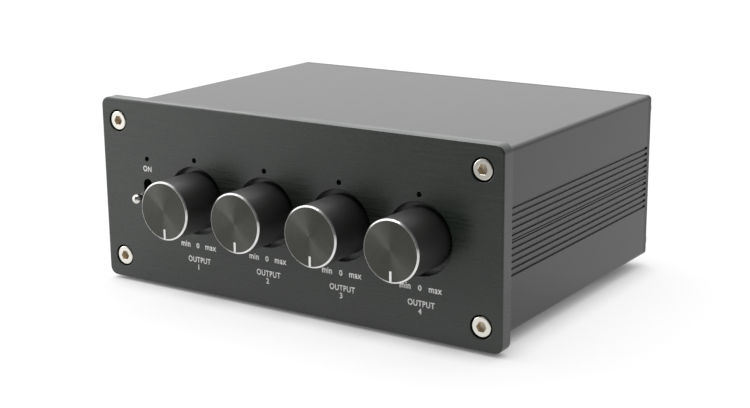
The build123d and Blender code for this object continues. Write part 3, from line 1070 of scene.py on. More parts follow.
@dataclass
class FrontPanel:
    """Thick front panel: plate, corner screws and printed legends."""

    corner_radius: float = 2.5 * MM
    edge_radius: float = 0.4 * MM
    back_edge_radius: float = 0.2 * MM
    knob_recess_gap: float = 1.5 * MM
    knob_floor_gap: float = 0.5 * MM
    bushing_hole_radius: float = 3.8 * MM
    hole_edge_radius: float = 0.2 * MM
    lamp_hole_radius: float = 0.75 * MM
    lamp_edge_radius: float = 0.08 * MM
    slot_half_width: float = 1.65 * MM
    slot_half_height: float = 2.63 * MM
    head_radius: float = 2.85 * MM
    head_height: float = 3.0 * MM
    head_sink: float = 0.1 * MM
    head_edge_radius: float = 0.35 * MM
    bore_play: float = 0.45 * MM
    shank_radius: float = 1.5 * MM
    shank_play: float = 0.2 * MM
    socket_half_flats: float = 1.25 * MM
    socket_depth: float = 1.5 * MM
    socket_lip: float = 0.12 * MM
    socket_floor_share: float = 0.8
    socket_cone_share: float = 1 / 3
    screw_segments: int = 48
    knob_steps: int = 24
    lamp_steps: int = 6
    on_rise: float = 7.4 * MM
    on_height: float = 1.7 * MM
    on_width: float = 3.2 * MM
    scale_shift: float = 0.2 * MM
    scale_drop: float = 14.15 * MM
    scale_words: tuple[tuple[str, float, float, float], ...] = (
        ("min", -4.6 * MM, 1.76 * MM, 3.4 * MM),
        ("0", 0.0, 1.6 * MM, 1.1 * MM),
        ("max", 4.8 * MM, 1.32 * MM, 4.1 * MM),
    )
    output_shift: float = 0.4 * MM
    output_drop: float = 17.65 * MM
    output_height: float = 1.75 * MM
    output_width: float = 8.4 * MM
    number_drop: float = 19.85 * MM
    number_height: float = 1.6 * MM

    def build(self) -> None:
        """Make and dress the panel, its screws and its legends."""
        low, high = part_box("front_panel")
        self.low, self.high = low, high
        self.middle = (low + high) / 2
        panel = new_piece("panel_plate", self.plate_mesh(), PANEL_BLACK)
        settle(panel, "case", "panel_black", "front_panel")
        settle(self.screws(), "case", "screw_steel", "panel_screws")
        print_mesh = printed(self.legends(), low.y, facing_back=False)
        settle(new_piece("panel_legends", print_mesh, WHITE_PRINT), "case", "panel_black")

    def corner(self) -> Vector:
        """Return the axis of the lower left screw."""
        low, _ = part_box("panel_screws")
        return Vector((low.x + self.head_radius, 0, low.z + self.head_radius))

    def sunk_section(self, radius: float, floor: float, inner_radius: float) -> Rows:
        """Draw the section of a hole that narrows at a floor.

        Args:
            radius: The hole's radius at the front.
            floor: Depth of the floor.
            inner_radius: The hole's radius behind the floor.

        Returns:
            Outward move and depth of each ring.
        """
        return section_of([
            Corner(2 * self.hole_edge_radius, self.low.y),
            Corner(0, self.low.y, self.hole_edge_radius),
            Corner(0, floor),
            Corner(inner_radius - radius, floor),
            Corner(inner_radius - radius, self.high.y),
        ])

    def plate_mesh(self) -> bmesh.types.BMesh:
        """Cut the panel's plate.

        Returns:
            The plate with its holes and recesses.
        """
        faces = (self.low.y, self.high.y)
        half = (self.high - self.low) / 2
        outside = Contour(self.middle.x, self.middle.z, half.x, half.z, self.corner_radius)
        edges = [Edge(outside, eased(faces, self.edge_radius, self.back_edge_radius, hole=False))]
        pinhole = eased(faces, self.lamp_edge_radius, self.lamp_edge_radius, hole=True)
        bore_radius = self.head_radius + self.bore_play
        bore_floor = self.low.y + self.head_height + self.head_sink
        bore = self.sunk_section(bore_radius, bore_floor, self.shank_radius + self.shank_play)
        corner = self.corner()
        for side_x in (-1, 1):
            for side_z in (-1, 1):
                x = self.middle.x + side_x * (self.middle.x - corner.x)
                z = self.middle.z + side_z * (self.middle.z - corner.z)
                edges.append(Edge(circle(x, z, bore_radius), bore))
        lamp_z = middle_of("level_lamps").z
        for knob in KNOB_NODES:
            axis = middle_of(knob)
            low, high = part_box(knob)
            radius = (high.x - low.x) / 2 + self.knob_recess_gap
            floor = high.y + self.knob_floor_gap
            recess = self.sunk_section(radius, floor, self.bushing_hole_radius)
            edges.append(Edge(circle(axis.x, axis.z, radius, self.knob_steps), recess))
            edges.append(Edge(self.lamp_hole(axis.x, lamp_z), pinhole))
        power = middle_of("power_lamp")
        edges.append(Edge(self.lamp_hole(power.x, power.z), pinhole))
        toggle = middle_of("toggle_bushing")
        half_width = self.slot_half_width
        slot = Contour(toggle.x, toggle.z, half_width, self.slot_half_height, half_width)
        edges.append(Edge(slot, pinhole))
        return plate(edges)

    def lamp_hole(self, x: float, z: float) -> Contour:
        """Return the contour of a lamp's hole."""
        return circle(x, z, self.lamp_hole_radius, self.lamp_steps)

    def screws(self) -> bpy.types.Object:
        """Make the four socket cap screws.

        Returns:
            The screws as one piece.
        """
        front = self.low.y + self.head_sink
        floor = front + self.socket_depth
        flats = self.socket_half_flats
        lip = flats + self.socket_lip
        under = front + self.head_height
        _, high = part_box("panel_screws")
        head = [
            Corner(lip, front),
            Corner(self.head_radius, front, self.head_edge_radius),
            Corner(self.head_radius, under),
            Corner(self.shank_radius, under),
            Corner(self.shank_radius, high.y),
            Corner(0, high.y),
        ]
        rings = [
            Ring(0, floor + flats * self.socket_cone_share),
            Ring(flats * self.socket_floor_share, floor),
            Ring(flats, floor, Section.HEXAGON),
            Ring(flats, front + self.socket_lip, Section.HEXAGON),
            Ring(lip, front, Section.HEXAGON),
            *rings_of(head)[1:],
        ]
        part = new_piece("panel_cap_screws", turned(rings, self.screw_segments), CAP_NICKEL)
        corner = self.corner()
        reach = 2 * (self.middle - corner)
        grid = PartGrid(corner, Vector((reach.x, 0, 0)), Vector((0, 0, reach.z)))
        return grid.spread(part, CAP_NICKEL)

    def legends(self) -> list[Legend]:
        """Set a word over the toggle, and a scale and a number under each knob.

        Returns:
            The panel's words.
        """
        toggle = middle_of("toggle_bushing")
        over = self.middle.z + self.on_rise
        words = [Legend("ON", toggle.x, over, self.on_height, self.on_width)]
        baseline = self.middle.z - self.scale_drop
        output_z = self.middle.z - self.output_drop
        number_z = self.middle.z - self.number_drop
        for number, knob in enumerate(KNOB_NODES, start=1):
            x = middle_of(knob).x + self.scale_shift
            for word, across, height, width in self.scale_words:
                words.append(Legend(word, x + across, baseline + height / 2, height, width))
            output_x = x + self.output_shift
            output_size = (self.output_height, self.output_width)
            words.append(Legend("OUTPUT", output_x, output_z, *output_size))
            words.append(Legend(str(number), x, number_z, self.number_height))
        return words


@dataclass
class Knob:
    """One turned knob: body, spun face, bright cut edge and pointer."""

    number: int
    cut_edge: float = 0.4 * MM
    cut_lip: float = 0.07 * MM
    cut_skin: float = 0.06 * MM
    face_thickness: float = 2.5 * MM
    face_skin: float = 0.05 * MM
    back_edge_radius: float = 0.3 * MM
    bore_radius: float = 3.02 * MM
    pointer_width: float = 0.7 * MM
    pointer_length: float = 2.8 * MM
    pointer_depth: float = 0.2 * MM
    pointer_proud: float = 0.01 * MM
    screw_setback: float = 9.0 * MM
    screw_hole_radius: float = 1.55 * MM
    segments: int = 128
    drill_segments: int = 32
    pointer_steps: int = 4

    def build(self) -> None:
        """Make and dress the knob."""
        node = f"knob_{self.number}"
        body = f"level_{self.number}"
        low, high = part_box(node)
        self.front, self.back = low.y, high.y
        self.radius = (high.x - low.x) / 2
        self.place = Matrix.Translation(((low.x + high.x) / 2, 0, (low.z + high.z) / 2))
        settle(self.grip(), body, "knob_black", node)
        for name, mesh, finish in (
            ("face", self.face_mesh(), KNOB_FACE),
            ("cut_edge", self.cut_edge_mesh(), KNOB_EDGE),
            ("pointer", self.pointer_mesh(), WHITE_PRINT),
        ):
            piece = new_piece(f"knob_{name}_{self.number}", mesh, finish, self.place)
            settle(piece, body, "knob_black")

    def grip(self) -> bpy.types.Object:
        """Turn the knob's body, with its bore and the set screw's hole.

        Returns:
            The body.
        """
        rim = self.radius - self.cut_edge
        under = self.front + self.face_skin
        hole_depth = self.front + self.screw_setback
        band = 2 * self.screw_hole_radius
        corners = [
            Corner(0, under),
            Corner(rim, under),
            Corner(rim + self.cut_skin, under + self.cut_skin),
            Corner(self.radius, self.front + self.cut_edge),
            Corner(self.radius, hole_depth - band),
            Corner(self.radius, hole_depth + band),
            Corner(self.radius, self.back, self.back_edge_radius),
            Corner(self.bore_radius, self.back),
            Corner(self.bore_radius, self.front + self.face_thickness),
            Corner(0, self.front + self.face_thickness),
        ]
        mesh = turned(rings_of(corners), self.segments)
        grip = new_piece(f"knob_grip_{self.number}", mesh, KNOB_SIDE, self.place)
        self.drill(grip, hole_depth)
        return grip

    def drill(self, grip: bpy.types.Object, depth: float) -> None:
        """Cut the set screw's hole.

        Args:
            grip: The knob's body.
            depth: Place of the hole along the knob.
        """
        radius, reach = self.screw_hole_radius, 2 * self.radius
        corners = [Corner(0, 0), Corner(radius, 0), Corner(radius, reach), Corner(0, reach)]
        down = Matrix.Translation((0, depth, 0)) @ Matrix.Rotation(-math.pi / 2, 4, "X")
        mesh = turned(rings_of(corners), self.drill_segments)
        tool = new_piece("drill", mesh, KNOB_SIDE, self.place @ down)
        cut = grip.modifiers.new("set_screw_hole", "BOOLEAN")
        cut.operation = "DIFFERENCE"
        cut.object = tool
        cut.solver = "EXACT"
        flattened(grip)
        bpy.data.objects.remove(tool)

    def face_mesh(self) -> bmesh.types.BMesh:
        """Turn the spun front face.

        Returns:
            A thin disc.
        """
        rim = self.radius - self.cut_edge - self.cut_lip
        sunk = self.front + 2 * self.face_skin
        front = self.front
        corners = [Corner(0, front), Corner(rim, front), Corner(rim, sunk), Corner(0, sunk)]
        return turned(rings_of(corners), self.segments)

    def cut_edge_mesh(self) -> bmesh.types.BMesh:
        """Turn the bright chamfer round the face, with its narrow flat lip.

        Returns:
            A thin ring.
        """
        rim = self.radius - self.cut_edge
        edge = self.front + self.cut_edge
        corners = [
            Corner(rim - self.cut_lip, self.front),
            Corner(rim, self.front),
            Corner(self.radius, edge),
            Corner(self.radius - self.cut_skin, edge),
            Corner(rim, self.front + self.cut_skin),
            Corner(rim - self.cut_lip, self.front + self.cut_skin),
        ]
        return turned(rings_of(corners, closed=True), self.segments)

    def pointer_mesh(self) -> bmesh.types.BMesh:
        """Cut the white pointer, at six o'clock.

        Returns:
            A thin bar.
        """
        outer = self.radius - self.cut_edge - self.cut_lip
        half = self.pointer_width / 2
        reach = self.pointer_length / 2
        bar = Contour(0, reach - outer, half, reach, half / 2, self.pointer_steps)
        face = self.front - self.pointer_proud
        return plate([Edge(bar, ((0, face), (0, self.front + self.pointer_depth)))])


@dataclass
class Toggle:
    """Bright power lever, at its off position with the tip down."""

    reach: float = 11.5 * MM
    tip_radius: float = 1.5 * MM
    stem_radius: float = 0.95 * MM
    neck_radius: float = 0.8 * MM
    pivot_radius: float = 1.7 * MM
    tail_radius: float = 0.75 * MM
    ball_steps: int = 14
    segments: int = 48

    def build(self, joint: dict) -> None:
        """Make and dress the lever.

        Args:
            joint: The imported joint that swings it.
        """
        pivot = Vector(joint["pos_m"])
        tilt = math.radians(sum(joint["range_deg"])) / 2
        _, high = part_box("toggle_lever")
        tail = (high.y - pivot.y) / math.cos(tilt) - self.tail_radius * math.tan(tilt)
        place = Matrix.Translation(pivot) @ Matrix.Rotation(tilt, 4, "X")
        mesh = turned(self.rings(tail), self.segments)
        lever = new_piece("toggle_bat", mesh, LEVER_CHROME, place)
        settle(lever, "toggle", "lever_chrome", "toggle_lever")

    def rings(self, tail: float) -> list[Ring]:
        """Return the lever's rings, from tip to tail.

        Args:
            tail: Length of the tail behind the pivot.

        Returns:
            The rings about the lever's axis.
        """
        neck = math.asin(self.neck_radius / self.tip_radius)
        stem = math.asin(self.stem_radius / self.pivot_radius)
        root = math.asin(self.tail_radius / self.pivot_radius)
        return [
            *self.ball(-self.reach, self.tip_radius, 0.0, neck),
            Ring(self.stem_radius, -self.reach / 2),
            *self.ball(0.0, self.pivot_radius, stem, root),
            Ring(self.tail_radius, tail),
            Ring(0, tail),
        ]

    def ball(self, middle: float, radius: float, front: float, back: float) -> list[Ring]:
        """Return the rings of a ball.

        Args:
            middle: Place of the ball along the lever.
            radius: The ball's radius.
            front: Half angle of the cap that is left off in front.
            back: Half angle of the cap that is left off behind.

        Returns:
            The rings from front to back.
        """
        sweep = math.pi - front - back
        steps = range(self.ball_steps + 1)
        angles = [front + sweep * step / self.ball_steps for step in steps]
        return [Ring(radius * math.sin(a), middle - radius * math.cos(a)) for a in angles]


@dataclass
class Case:
    """The two case halves, cut from one extrusion, and the rubber feet."""

    wall: float = 2.4 * MM
    corner_radius: float = 1.2 * MM
    groove_count: int = 5
    groove_pitch: float = 1.82 * MM
    groove_width: float = 0.8 * MM
    groove_depth: float = 0.45 * MM
    groove_lip: float = 0.1 * MM
    split_width: float = 1.0 * MM
    split_depth: float = 0.5 * MM
    bead_width: float = 0.36 * MM
    bead_sink: float = 0.1 * MM
    tongue_height: float = 1.6 * MM
    tongue_thickness: float = 0.9 * MM
    tongue_gap: float = 0.1 * MM
    boss_radius: float = 2.9 * MM
    boss_steps: int = 12
    screw_hole_radius: float = 1.55 * MM
    screw_side_inset: float = 3.0 * MM
    screw_edge_inset: float = 4.2 * MM
    rail_reach: float = 2.0 * MM
    rail_thickness: float = 1.5 * MM
    rail_gap: float = 0.1 * MM
    foot_tip_share: float = 0.9
    foot_tip_radius: float = 0.5 * MM
    foot_dimple_radius: float = 1.6 * MM
    foot_dimple_depth: float = 0.5 * MM
    foot_segments: int = 48
    hole_steps: int = 6

    def build(self) -> None:
        """Make and dress both halves and the feet."""
        low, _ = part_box("bottom_shell")
        _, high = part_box("top_shell")
        self.low, self.high = low, high
        self.middle = (low + high) / 2
        self.half_width = (high.x - low.x) / 2
        self.half_height = (high.z - low.z) / 2
        centre = Matrix.Translation((self.middle.x, 0, self.middle.z))
        turned_over = centre @ Matrix.Rotation(math.pi, 4, "Y")
        for end, place in (("bottom", centre), ("top", turned_over)):
            half = new_piece(f"case_{end}", self.half_mesh(), CASE_BLACK, place)
            settle(half, "case", "case_black", f"{end}_shell")
        feet = [f"foot_{end}_{side}" for end in ("front", "rear") for side in ("left", "right")]
        settle(self.feet(), "case", "foot_rubber", *feet)

    def half_mesh(self) -> bmesh.types.BMesh:
        """Cut the lower half from the extrusion.

        Returns:
            The half, about the case's middle.
        """
        section = ((0, self.low.y), (0, self.high.y))
        screw_x = self.half_width - self.screw_side_inset
        screw_z = self.screw_edge_inset - self.half_height
        outline = Outline(tuple(rounded(self.outline(), closed=True)))
        edges = [Edge(outline, section)]
        for x in (-screw_x, screw_x):
            hole = circle(x, screw_z, self.screw_hole_radius, self.hole_steps)
            edges.append(Edge(hole, section))
        return plate(edges)

    def outline(self) -> list[Corner]:
        """Draw the section: right side down, left side up, and back inside.

        Returns:
            The corners in order.
        """
        outer = self.outer_side()
        wall_x = self.half_width - self.wall
        rebate_x = wall_x + self.tongue_thickness + self.tongue_gap
        rebate_z = -self.tongue_height - self.tongue_gap
        tongue_x = wall_x + self.tongue_thickness
        inner = self.inner_side()
        return [
            *outer,
            *[corner.mirrored() for corner in reversed(outer)],
            Corner(-rebate_x, 0),
            Corner(-rebate_x, rebate_z),
            Corner(-wall_x, rebate_z),
            *[corner.mirrored() for corner in inner],
            *reversed(inner),
            Corner(wall_x, self.tongue_height),
            Corner(tongue_x, self.tongue_height),
            Corner(tongue_x, 0),
        ]

    def outer_side(self) -> list[Corner]:
        """Draw the right outer side from the split down, with its grooves.

        Returns:
            The corners, to the case's lower corner.
        """
        face = self.half_width
        floor = face - self.split_depth
        bead = face - self.bead_sink
        corners = [
            Corner(bead, 0),
            Corner(bead, -self.bead_width / 2),
            Corner(floor, -self.bead_width / 2),
            Corner(floor, -self.split_width / 2),
            Corner(face, -self.split_width / 2, self.groove_lip),
        ]
        for number in range(1, self.groove_count + 1):
            top = self.groove_width / 2 - number * self.groove_pitch
            bottom = top - self.groove_width
            corners += [
                Corner(face, top, self.groove_lip),
                Corner(face - self.groove_depth, top),
                Corner(face - self.groove_depth, bottom),
                Corner(face, bottom, self.groove_lip),
            ]
        return [*corners, Corner(face, -self.half_height, self.corner_radius)]

    def inner_side(self) -> list[Corner]:
        """Draw the right inner side from the top of the board rails down.

        Returns:
            The corners, to the case's floor.
        """
        board_low, board_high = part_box("main_board")
        wall_x = self.half_width - self.wall
        rail_x = wall_x - self.rail_reach
        upper = board_high.z - self.middle.z + self.rail_gap
        lower = board_low.z - self.middle.z - self.rail_gap
        foot = lower - self.rail_thickness
        corners = [
            Corner(wall_x, upper + self.rail_thickness),
            Corner(rail_x, upper + self.rail_thickness),
            Corner(rail_x, upper),
            Corner(wall_x, upper),
            Corner(wall_x, lower),
            Corner(rail_x, lower),
            Corner(rail_x, foot),
        ]
        boss_x = self.half_width - self.screw_side_inset
        boss_z = self.screw_edge_inset - self.half_height
        start = math.asin((foot - boss_z) / self.boss_radius)
        end = math.asin((self.wall - self.half_height - boss_z) / self.boss_radius)
        for step in range(self.boss_steps + 1):
            angle = start + (end - start) * step / self.boss_steps
            x = boss_x - self.boss_radius * math.cos(angle)
            corners.append(Corner(x, boss_z + self.boss_radius * math.sin(angle)))
        return corners

    def feet(self) -> bpy.types.Object:
        """Make the four feet.

        Returns:
            The feet as one piece.
        """
        low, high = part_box("foot_front_left")
        opposite = middle_of("foot_rear_right")
        radius = (high.x - low.x) / 2
        dimple = low.z + self.foot_dimple_depth
        corners = [
            Corner(0, dimple),
            Corner(self.foot_dimple_radius, dimple),
            Corner(self.foot_dimple_radius, low.z, self.foot_tip_radius / 2),
            Corner(radius * self.foot_tip_share, low.z, self.foot_tip_radius),
            Corner(radius, high.z),
            Corner(0, high.z),
        ]
        upright = Matrix.Rotation(math.pi / 2, 4, "X")
        mesh = turned(rings_of(corners), self.foot_segments)
        part = new_piece("case_feet", mesh, FOOT_RUBBER, upright)
        corner = (low + high) / 2
        corner.z = 0
        reach = opposite - corner
        grid = PartGrid(corner, Vector((reach.x, 0, 0)), Vector((0, reach.y, 0)))
        return grid.spread(part, FOOT_RUBBER)


@dataclass
class Rear:
    """Rear panel with the phono sockets and its printed legends."""

    corner_radius: float = 1.2 * MM
    edge_radius: float = 0.25 * MM
    hole_edge_radius: float = 0.1 * MM
    screw_hole_radius: float = 1.7 * MM
    head_radius: float = 2.75 * MM
    inlet_nose_radius: float = 3.9 * MM
    hole_play: float = 0.3 * MM
    sleeve_radius: float = 4.15 * MM
    sleeve_shoulder: float = 0.35 * MM
    sleeve_wall: float = 0.5 * MM
    sleeve_lip: float = 0.2 * MM
    insulator_play: float = 0.02 * MM
    contact_radius: float = 2.1 * MM
    contact_bore: float = 1.65 * MM
    contact_floor: float = 1.0 * MM
    contact_lip_share: float = 1 / 3
    names: tuple[str, ...] = ("IN", "1", "2", "3", "4")
    name_rise: float = 9.5 * MM
    name_height: float = 2.2 * MM
    channel_reach: float = 9.0 * MM
    channel_height: float = 2.0 * MM
    inlet_rise: float = 8.0 * MM
    columns: int = 5
    rows: int = 2
    segments: int = 64
    screw_steps: int = 8

    def build(self) -> None:
        """Make and dress the panel, the sockets and the legends."""
        self.low, self.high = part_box("rear_panel")
        upper_low, upper_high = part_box("socket_insulators_left")
        reach = (upper_high.z - upper_low.z) / 2
        self.first = Vector((upper_low.x + reach, 0, upper_low.z + reach))
        pitch = (upper_high.x - upper_low.x - 2 * reach) / (self.columns - 1)
        self.column_step = Vector((pitch, 0, 0))
        drop = middle_of("socket_insulators_right").z - self.first.z
        self.row_step = Vector((0, 0, drop))
        panel = new_piece("rear_plate", self.plate_mesh(), REAR_BLACK)
        settle(panel, "case", "panel_black", "rear_panel")
        settle(self.sleeves(), "case", "plated_metal", "socket_sleeves")
        settle(self.contacts(), "case", "plated_metal", "socket_contacts")
        channels = (("left", "insulator_white"), ("right", "insulator_red"))
        for row, (side, slot) in enumerate(channels):
            insulators = self.insulators(side, NODE_FINISHES[slot], row)
            settle(insulators, "case", slot, f"socket_insulators_{side}")
        print_mesh = printed(self.legends(), self.high.y, facing_back=True)
        settle(new_piece("rear_legends", print_mesh, WHITE_PRINT), "case", "panel_black")

    def places(self) -> list[Vector]:
        """List the axes of all sockets.

        Returns:
            The axes, the upper row first.
        """
        return [
            self.first + column * self.column_step + row * self.row_step
            for row in range(self.rows)
            for column in range(self.columns)
        ]

    def plate_mesh(self) -> bmesh.types.BMesh:
        """Cut the rear plate.

        Returns:
            The plate with its holes.
        """
        faces = (self.low.y, self.high.y)
        middle = (self.low + self.high) / 2
        half = (self.high - self.low) / 2
        outside = Contour(middle.x, middle.z, half.x, half.z, self.corner_radius)
        edges = [Edge(outside, eased(faces, self.hole_edge_radius, self.edge_radius, hole=False))]
        hole = eased(faces, self.hole_edge_radius, self.hole_edge_radius, hole=True)
        screws_low, screws_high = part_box("rear_screws")
        for x in (screws_low.x + self.head_radius, screws_high.x - self.head_radius):
            for z in (screws_low.z + self.head_radius, screws_high.z - self.head_radius):
                edges.append(Edge(circle(x, z, self.screw_hole_radius, self.screw_steps), hole))
        socket_hole = self.sleeve_radius + self.sleeve_shoulder + self.hole_play
        for place in self.places():
            edges.append(Edge(circle(place.x, place.z, socket_hole), hole))
        inlet = middle_of("inlet_pin")
        inlet_hole = self.inlet_nose_radius + self.hole_play
        edges.append(Edge(circle(inlet.x, inlet.z, inlet_hole), hole))
        return plate(edges)

    def copies(
        self,
        name: str,
        rings: list[Ring],
        finish: Finish,
        row: int | None = None,
    ) -> bpy.types.Object:
        """Make one socket part at every place of one row or of all rows.

        Args:
            name: The piece's name.
            rings: The part's rings about its axis.
            finish: The part's finish.
            row: The row, from the top, or None for all rows.

        Returns:
            The parts as one piece.
        """
        part = new_piece(name, turned(rings, self.segments), finish)
        corner = self.first + (row or 0) * self.row_step
        rows = self.rows if row is None else 1
        grid = PartGrid(corner, self.column_step, self.row_step, self.columns, rows)
        return grid.spread(part, finish)

    def sleeves(self) -> bpy.types.Object:
        """Make the outer sleeves.

        Returns:
            The sleeves as one piece.
        """
        low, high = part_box("socket_sleeves")
        base = self.sleeve_radius + self.sleeve_shoulder
        bore = self.sleeve_radius - self.sleeve_wall
        corners = [
            Corner(base, low.y),
            Corner(base, self.high.y),
            Corner(self.sleeve_radius, self.high.y),
            Corner(self.sleeve_radius, high.y, self.sleeve_lip),
            Corner(bore, high.y, self.sleeve_lip),
            Corner(bore, low.y),
        ]
        return self.copies("phono_sleeves", rings_of(corners, closed=True), SOCKET_NICKEL)

    def contacts(self) -> bpy.types.Object:
        """Make the centre contacts.

        Returns:
            The contacts as one piece.
        """
        low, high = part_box("socket_contacts")
        floor = low.y + self.contact_floor
        lip = (self.contact_radius - self.contact_bore) * self.contact_lip_share
        corners = [
            Corner(0, floor),
            Corner(self.contact_bore, floor),
            Corner(self.contact_bore, high.y, lip),
            Corner(self.contact_radius, high.y, lip),
            Corner(self.contact_radius, low.y),
            Corner(0, low.y),
        ]
        return self.copies("phono_contacts", rings_of(corners), SOCKET_NICKEL)

    def insulators(self, side: str, finish: Finish, row: int) -> bpy.types.Object:
        """Return one row of coloured insulators.

        Args:
            side: The channel that the row carries.
            finish: The row's colour.
            row: The row, from the top.

        Returns:
            The insulators as one piece.
        """
        low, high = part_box(f"socket_insulators_{side}")
        seat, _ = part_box("socket_contacts")
        radius = self.sleeve_radius - self.sleeve_wall - self.insulator_play
        bore = self.contact_radius + self.insulator_play
        corners = [
            Corner(0, seat.y),
            Corner(bore, seat.y),
            Corner(bore, high.y, self.sleeve_lip),
            Corner(radius, high.y, self.sleeve_lip),
            Corner(radius, low.y),
            Corner(0, low.y),
        ]
        return self.copies(f"phono_insulators_{side}", rings_of(corners), finish, row)

    def legends(self) -> list[Legend]:
        """Set a name over each pair of sockets, each row's channel, and the inlet's name.

        Returns:
            The rear panel's words.
        """
        over = self.first.z + self.name_rise
        words = [
            Legend(name, self.first.x + column * self.column_step.x, over, self.name_height)
            for column, name in enumerate(self.names)
        ]
        beside = self.first.x - self.channel_reach
        for row, channel in enumerate("LR"):
            z = self.first.z + row * self.row_step.z
            words.append(Legend(channel, beside, z, self.channel_height))
        inlet = middle_of("inlet_pin")
        words.append(Legend("DC", inlet.x, inlet.z + self.inlet_rise, self.channel_height))
        return words


@dataclass
class InnerParts:
    """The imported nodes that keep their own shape."""

    nodes: dict[str, bpy.types.Object]

    def dress(self) -> None:
        """Give each node that shows the finish of its material slot."""
        for name, node in self.nodes.items():
            if node.hide_render:
                continue
            for slot in node.material_slots:
                finish = NODE_FINISHES[slot.material.name.split(".")[0]]
                slot.material = finish.material()
                LOG.info("%s: node in %s", name, finish.name)


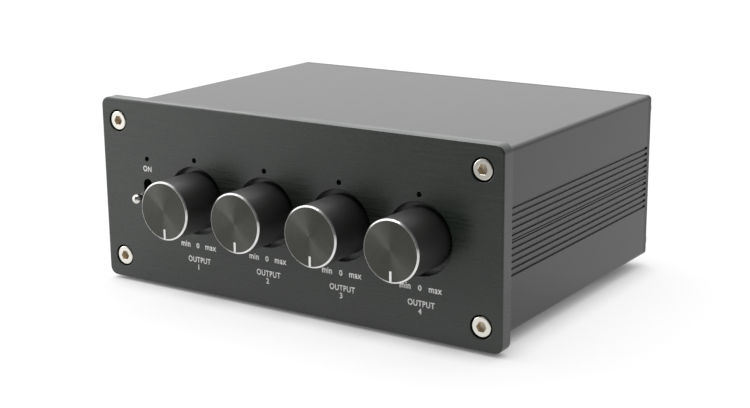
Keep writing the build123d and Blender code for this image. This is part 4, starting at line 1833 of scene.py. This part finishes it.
@dataclass
class Studio:
    """White floor, soft light and the camera of the photograph."""

    window_side: Place = (-0.72, 0.6, 0.35)
    room_light: float = 0.1
    window_light: float = 1.32
    window_spread: Pair = (-0.25, 0.8)
    floor_size: float = 6.0
    floor_colour: Colour = (0.9, 0.9, 0.9)
    floor_lift: float = 0.85
    # Ramps of the floor's painted light seen in gloss, brighter towards the window.
    gloss_left: Ramp = (0.005, -0.065, 0.44, 1.0)
    gloss_slant: float = -0.4
    gloss_front: Ramp = (-0.19, -0.07, 0.44, 0.78)
    gloss_behind: Ramp = (-0.06, 0.03, 0.44, 1.0)
    contact_reach: float = 9.0 * MM
    key_power: float = 5.0
    key_size: Pair = (1.2, 0.6)
    key_place: Place = (-1.29, -0.68, 0.33)
    top_power: float = 19.5
    top_size: Pair = (1.2, 1.2)
    top_place: Place = (-0.4, 0.2, 1.4)
    image_width: int = 750
    focal_pixels: float = 1457.1
    sensor: float = 36.0
    clip_start: float = 10 * MM
    azimuth: float = 33.866
    elevation: float = 14.390
    roll: float = -0.535
    camera_place: Place = (0.237712, -0.356858, 0.131951)

    def build(self) -> None:
        """Make the floor, the light and the camera."""
        bpy.context.scene.view_settings.view_transform = "Standard"
        self.floor()
        self.world()
        self.lamp("key", self.key_place, self.key_size, self.key_power)
        self.lamp("top", self.top_place, self.top_size, self.top_power)
        self.camera()

    def seen(self, bench: Bench, mirrored: Wire | float = 1.0) -> Wire:
        """Tell the rays that show the background itself.

        Args:
            bench: The node tree.
            mirrored: The share for rays that see it in gloss or through glass.

        Returns:
            1 for rays from the camera, and that share for the others.
        """
        rays = ["Is Camera Ray", "Is Glossy Ray", "Is Transmission Ray"]
        camera, glossy, through = [bench.node("ShaderNodeLightPath", output=ray) for ray in rays]
        return camera + (glossy + through) * mirrored

    def ramp(self, bench: Bench, value: Wire, ends: Ramp) -> Wire:
        """Change a value evenly between two ends.

        Args:
            bench: The node tree.
            value: The value.
            ends: Where the change starts and stops, and the levels there.

        Returns:
            The level at that value.
        """
        names = ("From Min", "From Max", "To Min", "To Max")
        return bench.node("ShaderNodeMapRange", None, {"Value": value, **dict(zip(names, ends))})

    def floor(self) -> None:
        """Make the white floor, which keeps the shadow; the brightness that gloss sees on it is
        painted light, dimming away from the window.
        """
        mesh = bmesh.new()
        bmesh.ops.create_grid(mesh, x_segments=1, y_segments=1, size=self.floor_size / 2)
        data = bpy.data.meshes.new("floor")
        mesh.to_mesh(data)
        mesh.free()
        material = bpy.data.materials.new("floor_white")
        material.use_nodes = True
        material.node_tree.nodes.clear()
        bench = Bench(material.node_tree)
        plain = bench.node("ShaderNodeBsdfDiffuse", None, {"Color": (*self.floor_colour, 1.0)})
        spot = bench.node("ShaderNodeTexCoord", output="Object")
        across = bench.node("ShaderNodeSeparateXYZ", None, {"Vector": spot}, output="X")
        along = bench.node("ShaderNodeSeparateXYZ", None, {"Vector": spot}, output="Y")
        # Painted light: in gloss the floor is brighter to the left and behind, towards the window,
        # and dimmer in front.
        left = self.ramp(bench, across + along * self.gloss_slant, self.gloss_left)
        front = self.ramp(bench, along, self.gloss_front)
        behind = self.ramp(bench, along, self.gloss_behind)
        tone = left.math("MAXIMUM", left, front.math("MAXIMUM", front, behind))
        colour = bench.mix(self.seen(bench, tone), BLACK, WHITE)
        white = bench.node("ShaderNodeEmission", None, {"Color": colour, "Strength": 1.0})
        nearby = {"Distance": self.contact_reach}
        open_share = bench.node("ShaderNodeAmbientOcclusion", None, nearby, output="AO")
        share = self.seen(bench, 1 / self.floor_lift) * self.floor_lift * open_share
        mixed = bench.node("ShaderNodeMixShader", None, {0: share, 1: plain, 2: white})
        output = material.node_tree.nodes.new("ShaderNodeOutputMaterial")
        bench.feed(output.inputs["Surface"], mixed)
        data.materials.append(material)
        floor = bpy.data.objects.new("floor", data)
        bpy.context.scene.collection.objects.link(floor)

    def world(self) -> None:
        """Make the surroundings: a white backdrop on the window's side of a dimmer room."""
        world = bpy.data.worlds.new("studio")
        world.use_nodes = True
        bpy.context.scene.world = world
        bench = Bench(world.node_tree)
        way = bench.node("ShaderNodeTexCoord", output="Generated")
        window = tuple(Vector(self.window_side).normalized())
        dot = {"operation": "DOT_PRODUCT"}
        facing = bench.node("ShaderNodeVectorMath", dot, {0: way, 1: window}, output="Value")
        dark, bright = self.window_spread
        ends = {"Value": facing, "From Min": dark, "From Max": bright}
        behind = bench.node("ShaderNodeMapRange", {"interpolation_type": "SMOOTHSTEP"}, ends)
        light = self.room_light + behind * (self.window_light - self.room_light)
        strength = light.math("MAXIMUM", light, self.seen(bench, behind))
        background = world.node_tree.nodes["Background"]
        bench.feed(background.inputs["Color"], (*WHITE, 1.0))
        bench.feed(background.inputs["Strength"], strength)

    def lamp(self, name: str, place: Place, size: Pair, power: float) -> None:
        """Make a soft lamp that faces the object.

        Args:
            name: The lamp's name.
            place: Where it stands.
            size: Its width and height.
            power: Its power in watts.
        """
        light = bpy.data.lights.new(name, "AREA")
        light.shape = "RECTANGLE"
        light.size, light.size_y = size
        light.energy = power
        lamp = bpy.data.objects.new(name, light)
        lamp.location = place
        lamp.rotation_euler = (-Vector(place)).to_track_quat("-Z", "Y").to_euler()
        bpy.context.scene.collection.objects.link(lamp)

    def camera(self) -> None:
        """Make the camera that took the photograph."""
        data = bpy.data.cameras.new("photo_camera")
        data.sensor_width = self.sensor
        data.lens = self.focal_pixels * self.sensor / self.image_width
        data.clip_start = self.clip_start
        azimuth, elevation = math.radians(self.azimuth), math.radians(self.elevation)
        back = Vector((
            math.sin(azimuth) * math.cos(elevation),
            -math.cos(azimuth) * math.cos(elevation),
            math.sin(elevation),
        ))
        right = Vector((math.cos(azimuth), math.sin(azimuth), 0))
        turn = Matrix((right, back.cross(right), back)).transposed()
        roll = Matrix.Rotation(math.radians(self.roll), 3, "Z")
        camera = bpy.data.objects.new("photo_camera", data)
        camera.matrix_world = Matrix.Translation(self.camera_place) @ (turn @ roll).to_4x4()
        bpy.context.scene.collection.objects.link(camera)
        bpy.context.scene.camera = camera


def main() -> None:
    """Build the object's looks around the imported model."""
    logging.basicConfig(level=logging.INFO, format="%(message)s")
    joints = {joint["name"]: joint for joint in frame["joints"]}
    FrontPanel().build()
    for number in range(1, len(KNOB_NODES) + 1):
        Knob(number).build()
    Toggle().build(joints["toggle_swing"])
    Case().build()
    Rear().build()
    InnerParts(frame["nodes"]).dress()
    Studio().build()


if __name__ == "__main__":
    main()
